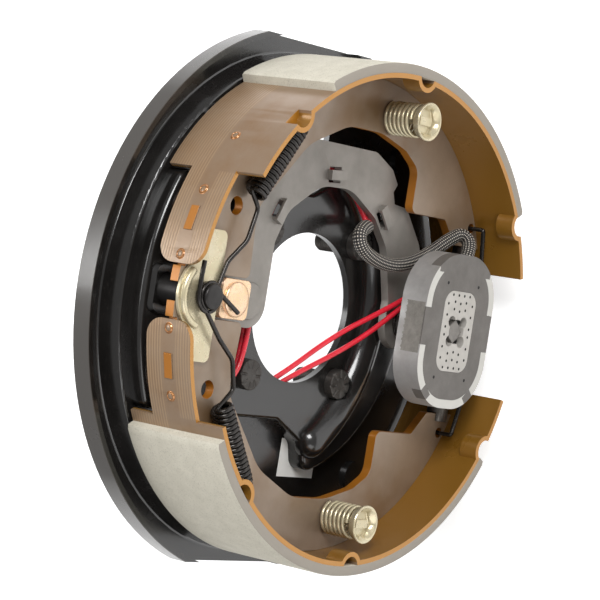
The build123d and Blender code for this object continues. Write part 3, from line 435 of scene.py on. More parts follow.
def surface(name: str, grid: np.ndarray, around: bool = True, capped: bool = True) -> Piece:
    """Mesh from a grid of points: row i, column j is the surface at its two parameters.

    Args:
        name: The piece's name.
        grid: Points in metres, of shape rows by columns by three.
        around: Whether the last column joins the first.
        capped: Whether the first and last rows are closed with one face each.

    Returns:
        The new object, its faces pointing outwards.
    """
    rows, columns = grid.shape[:2]
    index = np.arange(rows * columns).reshape(rows, columns)
    after = np.roll(index, -1, axis=1)
    if not around:
        index, after = index[:, :-1], after[:, :-1]
    quads = np.stack([index[:-1], after[:-1], after[1:], index[1:]], axis=-1).reshape(-1, 4)
    faces = quads.tolist()
    if capped:
        faces += [index[0][::-1].tolist(), index[-1].tolist()]
    mesh = bpy.data.meshes.new(name)
    mesh.from_pydata(grid.reshape(-1, 3).tolist(), [], faces)
    outward(mesh)
    return link(mesh, name)


def outward(mesh: bpy.types.Mesh) -> None:
    """Merge doubled points and point every face outwards."""
    work = bmesh.new()
    work.from_mesh(mesh)
    bmesh.ops.remove_doubles(work, verts=work.verts, dist=1e-7)
    bmesh.ops.recalc_face_normals(work, faces=work.faces)
    work.to_mesh(mesh)
    work.free()


def round_axis(x: float, z: float, radius: Any, height: Any, turn: Any) -> np.ndarray:
    """Grid in metres from radii, heights and angles about a line along the brake's axis."""
    radius, height, turn = np.broadcast_arrays(radius, height, turn)
    return np.stack([x + radius * np.sin(turn), -height, z + radius * np.cos(turn)], axis=-1) * MM


def turned(name: str, profile: Sequence[tuple[float, float]], x: float, z: float,
           sides: int = 64) -> Piece:
    """Turned piece about a line along the brake's axis: radius and height run round the circle.

    Args:
        name: The piece's name.
        profile: Points of radius and height in millimetres.
        x: X of the axis.
        z: Z of the axis.
        sides: Points round the circle.

    Returns:
        The new object.
    """
    radius, height = np.array(profile, float).T[:, :, None]
    turn = np.linspace(0, 2 * pi, sides, endpoint=False)
    return surface(name, round_axis(x, z, radius, height, turn), capped=False)


def frames(path: np.ndarray) -> tuple[np.ndarray, np.ndarray]:
    """Two unit vectors across a path at each station, carried along it without twist.

    Args:
        path: Stations of shape n by three.

    Returns:
        The first and second crosswise vectors.
    """
    along = np.gradient(path, axis=0)
    along /= np.linalg.norm(along, axis=1, keepdims=True)
    seed = np.cross(along[0], (0.0, 1.0, 0.0) if abs(along[0][1]) < 0.9 else (1.0, 0.0, 0.0))

    def carry(across: np.ndarray, ahead: np.ndarray) -> np.ndarray:
        """Remove from a vector what points along the path."""
        kept = across - ahead * (across @ ahead)
        return kept / np.linalg.norm(kept)

    first = np.array(list(accumulate(along[1:], carry, initial=carry(seed, along[0]))))
    return first, np.cross(along, first)


def tube(name: str, path: np.ndarray, radius: Any, sides: int = 12, relief: Any = None) -> Piece:
    """Round tube whose circle is carried along a path.

    Args:
        name: The piece's name.
        path: Stations in metres.
        radius: One radius, or one for each station, in millimetres.
        sides: Points round the circle.
        relief: Share of the radius added at each station and side.

    Returns:
        The new object, with closed ends.
    """
    first, second = frames(path)
    turn = np.linspace(0, 2 * pi, sides, endpoint=False)
    reach = np.broadcast_to(np.asarray(radius, float), (len(path),))[:, None, None] * MM
    if relief is not None:
        reach = reach * (1 + relief[..., None])
    ring = first[:, None] * np.cos(turn)[None, :, None] + second[:, None] * np.sin(turn)[None, :, None]
    return surface(name, path[:, None] + reach * ring)


def spaced(points: np.ndarray, step: float) -> np.ndarray:
    """Stations an even step apart, in millimetres, along a run of points."""
    runs = np.linalg.norm(np.diff(points, axis=0), axis=1)
    travel = np.concatenate([[0], np.cumsum(runs)])
    count = max(2, int(travel[-1] / (step * MM)))
    where = np.linspace(0, travel[-1], count)
    return np.stack([np.interp(where, travel, points[:, axis]) for axis in range(3)], axis=1)


def eased(points: np.ndarray, width: int) -> np.ndarray:
    """Soften a path's corners with a moving mean over a number of stations, ends kept."""
    padded = np.concatenate([np.repeat(points[:1], width, 0), points, np.repeat(points[-1:], width, 0)])
    kernel = np.hanning(2 * width + 3)[1:-1]
    kernel /= kernel.sum()
    mean = np.stack([np.convolve(padded[:, axis], kernel, "valid") for axis in range(3)], axis=1)
    mean[0], mean[-1] = points[0], points[-1]
    return mean


def helix(start: np.ndarray, end: np.ndarray, wide: float, narrow: float, turns: float,
          phase: float, steps: int = 28) -> np.ndarray:
    """Helix about the line from start to end: the radius goes evenly from wide to narrow.

    Args:
        start: First point of the axis, in metres.
        end: Last point of the axis.
        wide: Radius at the start, in millimetres.
        narrow: Radius at the end.
        turns: Number of turns.
        phase: Angle at the start, in degrees, from the crosswise direction.
        steps: Stations in one turn.

    Returns:
        The stations.
    """
    along = (end - start) / np.linalg.norm(end - start)
    across = np.cross(along, (0.0, 1.0, 0.0))
    across = across / np.linalg.norm(across) if np.linalg.norm(across) > 0.1 else np.array([1.0, 0.0, 0.0])
    third = np.cross(along, across)
    share = np.linspace(0, 1, max(8, int(abs(turns) * steps)))[:, None]
    angle = radians(phase) + 2 * pi * turns * share
    reach = (wide + (narrow - wide) * share) * MM
    return start + (end - start) * share + reach * (np.cos(angle) * across + np.sin(angle) * third)


def machined(node: str, name: str, edge: float, body: str, finish: Finish,
             crease: float = 30.0) -> Piece:
    """Copy of a CAD node with its doubles merged and its edges rounded.

    Args:
        node: The CAD node.
        name: The new piece's name.
        edge: Width of the rounded edges in millimetres.
        body: The body it rides on.
        finish: Its finish.
        crease: Edges sharper than this many degrees are rounded.

    Returns:
        The new piece, which stands for the node.
    """
    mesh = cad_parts[node].data.copy()
    work = bmesh.new()
    work.from_mesh(mesh)
    bmesh.ops.remove_doubles(work, verts=work.verts, dist=1e-6)
    bmesh.ops.dissolve_limit(work, angle_limit=radians(0.6), verts=work.verts, edges=work.edges)
    work.to_mesh(mesh)
    work.free()
    piece = link(mesh, name)
    if edge:
        bevel = piece.modifiers.new("rounded_edges", "BEVEL")
        bevel.width = edge * MM
        bevel.segments = 2
        bevel.limit_method = "ANGLE"
        bevel.angle_limit = radians(crease)
        bevel.harden_normals = True
    return settle(piece, finish, body, [node], crease)


@dataclass
class BackingPlate:
    """Pressed backing plate, its grommet and the plug of its adjusting slot."""

    edge: float = 0.5
    grommet: tuple[float, float] = GROMMET
    sticker_x: tuple[float, float] = (-86.0, -66.5)
    sticker_z: tuple[float, float] = (-42.0, -13.0)

    def sticker(self) -> Piece:
        """Blank paper sticker on the recessed floor."""
        (left, right), (low, high) = self.sticker_x, self.sticker_z
        grid = np.array([[(x, 5.93, z) for x in (left, right)] for z in (low, high)]) * MM
        return surface("blank_sticker", grid, around=False, capped=False)

    def build(self) -> None:
        """Make the plate and what is pressed into it."""
        machined("backing_plate", "pressed_backing_plate", self.edge, "plate", ENAMEL, 24)
        machined("adjusting_slot_plug", "slot_plug", 0.5, "plate", RUBBER)
        profile = [(0, -1.2), (5.8, -1.2), (6.6, -0.6), (6.6, -0.05), (4.6, -0.02), (4.6, 3.52), (6.6, 3.55),
                   (6.3, 4.2), (5.4, 4.7), (0, 4.7)]
        ring = turned("lead_grommet", profile, *self.grommet)
        settle(ring, RUBBER, "plate", ["wire_grommet"], 50)
        settle(self.sticker(), PAPER, "plate")


@dataclass
class Stud:
    """Pressed-in stud: a round head with cut notches and a rolled thread behind."""

    radius: float = 5.55
    press_radius: float = 5.88
    head_radius: float = 7.65
    head: float = 4.6
    seat: float = 3.5
    length: float = 20.0
    pitch: float = 1.25
    thread_depth: float = 0.65
    plain: float = 2.0
    spacing: float = 71.4
    notches: int = 8

    def shank(self, x: float, z: float, name: str) -> Piece:
        """Threaded shank: the radius falls and rises once a pitch along a helix.

        Args:
            x: X of the stud.
            z: Z of the stud.
            name: The piece's name.

        Returns:
            The new piece.
        """
        height = np.linspace(-self.length, self.seat + 0.2, 190)[:, None]
        turn = np.linspace(0, 2 * pi, 40, endpoint=False)[None, :]
        wave = np.abs(((height / self.pitch - turn / (2 * pi)) % 1.0) - 0.5) * 2
        threaded = np.clip((-self.plain - height) / self.pitch, 0, 1)
        lead_in = np.clip((height + self.length) / 1.4, 0, 1)
        radius = self.radius - self.thread_depth * threaded * wave - 1.0 * (1 - lead_in)
        radius = np.where(height > 0, self.press_radius, radius)
        return surface(name, round_axis(x, z, radius, height, turn))

    def cap(self, x: float, z: float, turned_by: float, name: str) -> Piece:
        """Head: a low dome with eight cuts, where the height dips in each cut.

        Args:
            x: X of the stud.
            z: Z of the stud.
            turned_by: Angle of the first cut, in degrees.
            name: The piece's name.

        Returns:
            The new piece.
        """
        share = np.concatenate([np.linspace(0, 0.93, 40), [0.96, 0.985, 1.0, 1.0]])[:, None]
        turn = np.linspace(0, 2 * pi, 160, endpoint=False)[None, :]
        drop = np.concatenate([np.zeros(40), [0.1, 0.3, 0.7, self.head]])[:, None]
        angle = (turn * self.notches / (2 * pi) - turned_by / 45) % 1.0 - 0.5
        across = np.abs(angle) * 2 * pi * share * self.head_radius / self.notches
        cut = np.clip(1.4 - across / 0.55, 0, 1) * np.clip((share - 0.42) * 12, 0, 1) * (drop < 0.9)
        height = self.seat + self.head - drop - 0.65 * cut
        return surface(name, round_axis(x, z, share * self.head_radius, height, turn))

    def build(self) -> None:
        """Make the four studs."""
        half = self.spacing / 2
        places = [(x, z) for x in (-half, half) for z in (-half, half)]
        for number, (x, z) in enumerate(places, 1):
            shank = self.shank(x, z, f"stud_shank_{number}")
            settle(shank, STUD_STEEL, "plate", [f"mounting_stud_{number}"], 60)
            head = self.cap(x, z, 13.0 * number, f"stud_head_{number}")
            settle(head, STUD_STEEL, "plate", crease=50)


@dataclass
class Anchor:
    """Anchor post with the guide plate that seats on it."""

    z: float = ANCHOR_Z

    def build(self) -> None:
        """Make the post, the guide plate and the lever's pivot."""
        profile = [(0, -4), (5.4, -4), (6.0, -3.6), (9, -1), (9, 0), (6, 0), (6, 6), (8, 6), (8, 26.8),
                   (5, 26.8), (5, 28.3), (4.2, 28.3), (4.2, 33.6), (5.7, 33.6), (6.1, 33.8), (6.15, 34.1),
                   (6.15, 34.6), (5.9, 35.1), (5.3, 35.45), (4.4, 35.6), (0, 35.6)]
        post = turned("anchor_pin", profile, 0, self.z)
        settle(post, POST_BLACK, "plate", ["anchor_post"], 40)
        machined("guide_plate", "shoe_guide_plate", 0.35, "plate", YELLOW_ZINC)
        pivot = [(0, -4), (5, -4), (8, -1), (8, 0), (5, 0), (5, 3.5), (9, 3.5), (9, 12.2), (7.5, 12.2),
                 (7.5, 17.3), (8.8, 17.3), (9.0, 17.5), (9.0, 17.9), (8.7, 18.2), (0, 18.2)]
        pin = turned("lever_pivot_pin", pivot, 0, 58.0)
        settle(pin, LEVER_STEEL, "plate", ["lever_pivot"], 40)


@dataclass
class Shoe:
    """One shoe: its web, its ridged table with spot welds, and its moulded lining."""

    name: str
    side: int
    lining_start: float
    lining_end: float
    weld_angles: tuple[float, ...] = (8.2, 23.6, 38.7)
    table_radius: float = 120.8
    lining_radius: float = 125.8
    front: float = 53.4
    back: float = -3.75
    web_mid: float = WEB_MID
    corner: float = 0.9

    @property
    def body(self) -> str:
        """Name of the CAD body."""
        return f"{self.name}_shoe"

    def lining(self) -> Piece:
        """Lining: a rounded rectangle of radius and height, carried round the drum.

        Returns:
            The new piece.
        """
        inner, outer, corner = self.table_radius, self.lining_radius, self.corner
        turn = np.radians(np.array([180, 225, 270, 270, 315, 360, 0, 45, 90, 90, 135, 180]))
        centre_r = np.array([inner + 0.1] * 3 + [outer - corner] * 6 + [inner + 0.1] * 3)
        size = np.array([0.1] * 3 + [corner] * 6 + [0.1] * 3)
        top, low = self.front - size, self.back + size
        centre_h = np.where(np.arange(12) < 6, low, top)
        section_r = centre_r + size * np.cos(turn)
        section_h = centre_h + size * np.sin(turn)
        angle = np.linspace(self.lining_start, self.lining_end, 130)
        ends = np.clip(np.minimum(angle - self.lining_start, self.lining_end - angle) / 0.5, 0, 1)
        pulled = (1 - ends) ** 2 * corner * 0.8
        radius = section_r[None, :] - pulled[:, None] * (section_r[None, :] > inner + 1)
        turn = np.radians(self.side * angle)[:, None]
        grid = round_axis(0, 0, radius, section_h[None, :], turn)
        return surface(f"{self.name}_moulded_lining", grid)

    def weld(self, angle: float, number: int) -> Piece:
        """Spot weld on the table: a raised ring round a small button.

        Args:
            angle: Where it lies, in degrees from the anchor post.
            number: Its number on this shoe.

        Returns:
            The new piece.
        """
        reach = np.linspace(0, 2.7, 16)[:, None]
        turn = np.linspace(0, 2 * pi, 28, endpoint=False)[None, :]
        lift = 0.75 * np.exp(-((reach - 1.75) / 0.5) ** 2) + 0.65 * np.exp(-(reach / 0.75) ** 2)
        lift = lift * np.clip((2.7 - reach) / 0.5, 0, 1) - 0.02
        x, z = polar(1.0, self.side * angle)
        out = np.array([x, 0, z])
        across = np.array([z, 0, -x])
        centre = out * self.table_radius + np.array([0, -self.web_mid, 0])
        grid = (centre + lift[..., None] * out + (reach * np.cos(turn))[..., None] * across
                + (reach * np.sin(turn))[..., None] * np.array([0, 1.0, 0]))
        return surface(f"{self.name}_weld_{number}", grid * MM, capped=False)

    def build(self) -> None:
        """Make the whole shoe."""
        steel = (("web", "varnished_web", WEB_VARNISH), ("table", "ridged_table", TABLE_VARNISH))
        for node, look, finish in steel:
            machined(f"{self.name}_{node}", f"{self.name}_{look}", 0.35, self.body, finish)
        lining = self.lining()
        settle(lining, LINING, self.body, [f"{self.name}_lining"], 40)
        for number, angle in enumerate(self.weld_angles, 1):
            if angle < self.lining_start - 1:
                settle(self.weld(angle, number), WELD_VARNISH, self.body, crease=80)


@dataclass
class RetractorSpring:
    """Coil spring from the anchor post to a shoe: hook, arm, coil, narrowing tail and hooked end."""

    name: str
    side: int
    hook_start: float
    hook_turn: float
    hook_height: float
    arm: Route
    tip: Route
    outer_hook: float = 5.65
    wire: float = 1.15
    hook_radius: float = 5.65
    coil_radius: float = 4.65
    turns: int = 17
    coil_near: tuple[float, float] = (50.3, 84.3)
    coil_far: tuple[float, float] = (84.0, 61.5)
    tail_end: tuple[float, float] = (96.0, 53.4)
    hole: tuple[float, float] = (99.5, 51.0)
    coil_height: float = 32.8

    def path(self) -> np.ndarray:
        """Centre line of the wire from its tip at the post to its hook in the web.

        Returns:
            Stations in metres.
        """
        angle = np.linspace(self.hook_start + self.hook_turn, self.hook_start, 70)
        reach = np.linspace(self.outer_hook, self.hook_radius, 70)
        hook = round_axis(0, ANCHOR_Z, reach, self.hook_height, np.radians(angle))
        tip = np.array([point(*p) for p in self.tip])
        arm = np.array([point(*p) for p in self.arm])
        near = point(self.side * self.coil_near[0], self.coil_near[1], self.coil_height)
        far = point(self.side * self.coil_far[0], self.coil_far[1], self.coil_height)
        tail = point(self.side * self.tail_end[0], self.tail_end[1], self.coil_height)
        top = point(self.side * self.hole[0], self.hole[1], self.coil_height)
        foot = point(self.side * self.hole[0], self.hole[1], 20.5)
        phase = 0 if self.side > 0 else 180
        coil = helix(near, far, self.coil_radius, self.coil_radius, self.side * self.turns, phase)
        narrow = helix(far, tail, self.coil_radius, 1.3, self.side * 6, phase)
        start = eased(spaced(np.concatenate([tip, hook, arm, coil[:10]]), 0.5), 7)
        end = eased(spaced(np.concatenate([narrow[-8:], [top, foot]]), 0.4), 5)
        return np.concatenate([start, coil[10:], narrow[1:-8], end])

    def build(self) -> None:
        """Make the spring. The primary one, which crosses both shoes, rides on no body."""
        wire = tube(f"{self.name}_coil_spring", self.path(), self.wire, 10)
        node = f"{self.name}_retractor_spring"
        if self.side > 0:
            settle(wire, BLACK_OXIDE, "", [node], 60)
            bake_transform(wire)
            return
        settle(wire, BLACK_OXIDE, "secondary_shoe", [node], 60)


@dataclass
class HoldDown:
    """Nail, coil spring and dished cup that hold a shoe to the plate."""

    name: str
    side: int
    x: float = 100.5
    z: float = -19.0
    wire: float = 0.95

    def cup(self) -> Piece:
        """Dished cup: its wall is round outside, and inside the radius falls to a hexagon's at the floor.

        Returns:
            The new piece.
        """
        profile = np.array([(2.1, 45.0, 0), (7.2, 45.0, 0), (8.0, 45.4, 0), (8.6, 46.2, 0), (9.5, 48.9, 0),
                            (9.6, 49.6, 0), (9.35, 50.0, 0), (8.8, 50.0, 0), (8.3, 49.6, 0), (7.7, 48.6, 0.3),
                            (7.1, 47.6, 1), (6.9, 46.5, 1), (6.5, 46.2, 1), (2.1, 46.2, 0), (2.1, 45.0, 0)])
        radius, height, six = profile.T[:, :, None]
        turn = np.linspace(0, 2 * pi, 96, endpoint=False)[None, :]
        flats = cos(pi / 6) / np.cos(turn % (pi / 3) - pi / 6)
        reach = radius * (1 + six * (flats - 1))
        grid = round_axis(self.side * self.x, self.z, reach, height, turn)
        return surface(f"{self.name}_spring_cup", grid, capped=False)

    def build(self) -> None:
        """Make the three pieces."""
        x = self.side * self.x
        settle(self.cup(), YELLOW_ZINC, "plate", [f"{self.name}_hold_down_cup"], 40)
        low, top = point(x, self.z, 26.9 + self.wire), point(x, self.z, 44.9 - self.wire)
        coil = helix(low, top, 7.8, 7.8, 6.2, 20, 40)
        spring = tube(f"{self.name}_hold_down_coil", coil, self.wire, 10)
        settle(spring, YELLOW_ZINC, "plate", [f"{self.name}_hold_down_spring"], 60)
        machined(f"{self.name}_hold_down_pin", f"{self.name}_nail", 0.3, "plate", YELLOW_ZINC)


@dataclass
class Adjuster:
    """Star-wheel adjuster between the shoe webs, with the spring that draws them together."""

    z: float = -100.5
    spring_z: float = -110.0
    spring_height: float = 34.5
    wire: float = 1.15

    def spring_path(self) -> np.ndarray:
        """Centre line of the adjuster spring: hook, straight arm, coil, arm and hook.

        Returns:
            Stations in metres.
        """
        left, right = [point(x, self.spring_z, self.spring_height) for x in (-28, 14)]
        coil = helix(left, right, 2.35, 2.35, 17, 0)
        ends = []
        for side in (-1, 1):
            foot, top = point(side * 54, -101, 20.5), point(side * 54, -101, self.spring_height)
            ends.append(np.array([foot, top]))
        run = np.concatenate([ends[0], coil[:6]])
        back = np.concatenate([coil[-6:], ends[1][::-1]])
        start, end = eased(spaced(run, 0.4), 5), eased(spaced(back, 0.4), 5)
        return np.concatenate([start, coil[6:-6], end])

    def build(self) -> None:
        """Make the adjuster's pieces."""
        pieces = (("nut", "adjuster_sleeve_nut", 0.35, "secondary_shoe"),
                  ("cap", "adjuster_end_cap", 0.35, "secondary_shoe"),
                  ("washer", "adjuster_thrust_washer", 0.2, "secondary_shoe"),
                  ("screw", "star_wheel_screw", 0.15, "star_wheel"))
        for node, name, edge, body in pieces:
            machined(f"adjuster_{node}", name, edge, body, ADJUSTER_STEEL)
        spring = tube("adjuster_coil_spring", self.spring_path(), self.wire, 10)
        settle(spring, BLACK_OXIDE, "secondary_shoe", ["adjuster_spring"], 60)


@dataclass
class Lever:
    """Actuating arm with its block, rivet, magnet post and magnet spring."""

    block_z: float = 79.8
    magnet_z: float = MAGNET_Z
    wire: float = 0.8

    def build(self) -> None:
        """Make the arm and what is fixed to it."""
        machined("actuating_lever", "stamped_actuating_arm", 0.35, "lever", LEVER_STEEL)
        machined("lever_block", "shoe_push_block", 0.5, "lever", ROSY_ZINC)
        dome = [(0, 27.3), (8.5, 27.4), (8.5, 27.9), (8.3, 28.5), (7.7, 29.0), (6.6, 29.35), (4, 29.4),
                (0, 29.4)]
        rivet = turned("block_rivet_head", dome, 0, self.block_z, 72)
        settle(rivet, ROSY_ZINC, "lever", ["block_rivet"], 50)
        machined("magnet_post", "square_headed_post", 0.3, "lever", POST_STEEL)
        low, top = point(0, self.magnet_z, 17.0 + self.wire), point(0, self.magnet_z, 35.3 - self.wire)
        spring = tube("magnet_coil_spring", helix(low, top, 8.6, 7.2, 5.0, 0, 40), self.wire, 10)
        settle(spring, BLACK_OXIDE, "lever", ["magnet_spring"], 60)


@dataclass
class Magnet:
    """Electromagnet: case, sintered face, pressed core and winding, with flat near-black discs of painted
    shade in the core's dimples, the face's holes and the lobes round the post.
    """

    z: float = MAGNET_Z
    front: float = 52.0
    dimple: float = 0.72
    face_hole: float = 0.85
    seat: float = 47.8
    lobe: float = 2.85

    def marks(self, name: str, corner: Sequence[tuple[float, float]], radius: float,
              height: float) -> Piece:
        """Flat round marks of painted shade, each mirrored to the four corners about the magnet's centre.

        Args:
            name: The piece's name.
            corner: X and Z of the marks in one corner, from the magnet's centre.
            radius: Radius of each mark.
            height: Height of the marks.

        Returns:
            One piece with all the marks.
        """
        places = {(x * right, z * up) for x, z in corner for right in (-1, 1) for up in (-1, 1)}
        x, z = np.array(sorted(places)).T
        sides = 14
        turn = np.linspace(0, 2 * pi, sides, endpoint=False)
        rims = np.stack([x[:, None] + radius * np.cos(turn), np.full((len(x), sides), -height),
                         self.z + z[:, None] + radius * np.sin(turn)], axis=-1)
        faces = np.arange(len(x) * sides).reshape(-1, sides)
        mesh = bpy.data.meshes.new(name)
        mesh.from_pydata((rims.reshape(-1, 3) * MM).tolist(), [], faces.tolist())
        return link(mesh, name)

    def patch(self) -> Piece:
        """Scuffed patch on the case's flat upper side, a ragged sheet just off the steel.

        Returns:
            The new piece.
        """
        x = np.linspace(-13.0, 12.6, 40)
        ragged = 0.35 * np.sin(1.9 * x) + 0.3 * np.sin(3.7 * x + 1)
        low, high = 40.2 + ragged, 51.2 - 0.25 * ragged
        side = np.full(40, self.z + 29.03)
        grid = np.stack([np.stack([x, -height, side], axis=-1) for height in (low, high)])
        return surface("case_scuff", grid * MM, around=False, capped=False)

    def build(self) -> None:
        """Make the magnet."""
        machined("magnet_case", "magnet_case_cup", 0.3, "magnet", CASE_STEEL)
        machined("magnet_friction_face", "sintered_friction_face", 0.2, "magnet", SINTER_IRON)
        machined("magnet_core", "pressed_core", 0.2, "magnet", CORE_METAL)
        machined("magnet_coil", "copper_winding", 0.3, "magnet", COPPER)
        dots = ((18.5, 2.4), (18.5, 7.2), (15.1, 4.8), (14.4, 0), (11.3, 4.8), (10.4, 0), (13.8, 10.4),
                (8.1, 10.3), (2.0, 10.3))
        front = self.front + 0.03
        # Flat near-black discs: painted shade in the core's dimples, the face's holes and the lobes round the
        # post head
        settle(self.marks("core_dimple_shade", dots, self.dimple, front), PAINTED_HOLE_SHADE, "magnet")
        settle(self.marks("face_hole_shade", ((24.0, 13.3),), self.face_hole, front), PAINTED_HOLE_SHADE, "magnet")
        settle(self.marks("lobe_floor_shade", ((4.9, 4.9),), self.lobe, self.seat + 0.05), PAINTED_HOLE_SHADE, "magnet")
        settle(self.patch(), CASE_PATCH, "magnet")


@dataclass
class Wiring:
    """Red leads on the plate and arm, the braided sleeve to the magnet, and the outlet leads."""

    radius: float = 1.35
    sleeve_radius: float = 3.6
    near: float = 10.9
    far: float = 8.1
    grommet: tuple[float, float] = GROMMET

    def spline(self, name: str, points: Route,
               bevel: float) -> Piece:
        """Smooth curve with these points of X, Z and height as its control points.

        Args:
            name: The curve's name.
            points: Control points in millimetres.
            bevel: Radius of the lead, or 0 for the bare line.

        Returns:
            The curve object.
        """
        curve = bpy.data.curves.new(name, "CURVE")
        curve.dimensions = "3D"
        curve.resolution_u = 12
        curve.bevel_depth = bevel * MM
        curve.bevel_resolution = 4
        curve.use_fill_caps = True
        run = curve.splines.new("NURBS")
        run.points.add(len(points) - 1)
        for control, where in zip(run.points, points):
            control.co = (*point(*where), 1.0)
        run.order_u = 3
        run.use_endpoint_u = True
        return link(curve, name)

    def line(self, points: Route, step: float) -> np.ndarray:
        """Stations read from the smooth curve through a route.

        Args:
            points: Control points in millimetres.
            step: Distance between stations in millimetres.

        Returns:
            The stations in metres.
        """
        curve = self.spline("route_line", points, 0)
        mesh = bpy.data.meshes.new_from_object(curve.evaluated_get(bpy.context.evaluated_depsgraph_get()))
        stations = np.empty(len(mesh.vertices) * 3)
        mesh.vertices.foreach_get("co", stations)
        bpy.data.objects.remove(curve)
        bpy.data.meshes.remove(mesh)
        return spaced(stations.reshape(-1, 3), step)

    def held_leads(self) -> None:
        """Leads from the grommet past the pivot, along the arm and up through it."""
        x, z = self.grommet
        near, far = self.near, self.far
        routes = (
            ((x + 2, z, 4), (x + 2, z, near), (-36, 51, near), (-22, 47.5, near), (0, 47.2, near),
             (26, 48, near), (46, 45, near), (60, 33, near), (67, 15, near), (67, -4, near),
             (59, -20, near), (52, -27.3, near), (48, -29.2, 12.3), (47.9, -28.3, 16.4),
             (46.6, -23, 18.2)),
            ((x - 2, z, 4), (x - 2, z, far), (-38, 50.3, far), (-23, 47.3, far), (0, 47.2, far),
             (26, 49.5, far), (48, 47.5, near - 1), (63, 34.5, near), (70, 15, near), (70, -6, near),
             (61.5, -22, near),
             (53.5, -29.8, near), (46.6, -32, 11.2), (45.2, -30.4, 15.3), (44.0, -24, 18.2)),
        )
        for number, route in enumerate(routes, 1):
            lead = tube(f"arm_lead_{number}", self.line(route, 1.2), self.radius, 14)
            settle(lead, RED_PVC, "", [f"plate_lead_{number}", f"lever_lead_{number}"], 60)
            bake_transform(lead)

    def sleeve(self) -> Piece:
        """Braided sleeve: two families of yarns lift the tube's radius where they cross.

        Returns:
            The new piece, with a map of turn and travel for its weave.
        """
        route = ((45.5, -24, 18), (43, -15, 20), (34, -16, 22), (28.4, -29, 24), (28, -45, 26.3),
                 (36.5, -66.5, 27), (46, -76, 31.3), (50.5, -83, 34.5), (44.8, -85.2, 39.6),
                 (37.6, -81.4, 40.2))
        step, sides = 0.3, 40
        path = self.line(route, step)
        turn = np.linspace(0, 1, sides, endpoint=False)[None, :]
        travel = np.arange(len(path))[:, None] * step
        yarns = [np.sin(2 * pi * (sign * BRAID_YARNS * turn + travel / BRAID_PITCH)) for sign in (1, -1)]
        relief = 0.045 * yarns[0] * yarns[1]
        piece = tube("braided_sleeve", path, self.sleeve_radius - 0.15, sides, relief)
        around = piece.data.uv_layers.new(name="around")
        count = len(piece.data.loops)
        vertex = np.empty(count, int)
        piece.data.loops.foreach_get("vertex_index", vertex)
        face_low = np.empty(len(piece.data.polygons), int)
        piece.data.polygons.foreach_get("loop_start", face_low)
        totals = np.empty(len(piece.data.polygons), int)
        piece.data.polygons.foreach_get("loop_total", totals)
        column, row = vertex % sides, vertex // sides
        first = np.repeat(np.maximum.reduceat((column == sides - 1).astype(int), face_low), totals)
        wrapped = (column == 0) & (first == 1)
        pairs = np.stack([(column + sides * wrapped) / sides, row * step], axis=1)
        around.data.foreach_set("uv", pairs.ravel())
        return settle(piece, BRAID, "lever", ["lead_sleeve"], 80)

    def outlet_leads(self) -> None:
        """Two free leads from the grommet's back, through the spindle opening, to behind the magnet."""
        x, z = self.grommet
        routes = (
            ((x + 2, z, -1.2), (x + 2, z, -9), (-47, 55, -14.5), (-52, 39, -17), (-50, 20, -12),
             (-35.5, 3.5, -1), (-11, -24, 8.5), (4, -46, 18.5), (12, -59, 21.5)),
            ((x - 2, z, -1.2), (x - 2, z, -8), (-51, 54, -12.5), (-56, 38, -14.5), (-53, 18, -13.5),
             (-44, 5, -6), (-35.3, -4.5, -1), (-17, -31, 11), (-1, -49.5, 18.5), (8.5, -59.5, 21.3)),
        )
        lengths = (0.158, 0.157)
        for number, (route, length) in enumerate(zip(routes, lengths), 1):
            lead = self.spline(f"free_lead_{number}", route, self.radius)
            lead.data.materials.append(RED_PVC.material())
            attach(lead, "plate")
            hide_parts(f"outlet_lead_{number}")

    def build(self) -> None:
        """Make all the wiring."""
        self.outlet_leads()
        self.held_leads()
        self.sleeve()


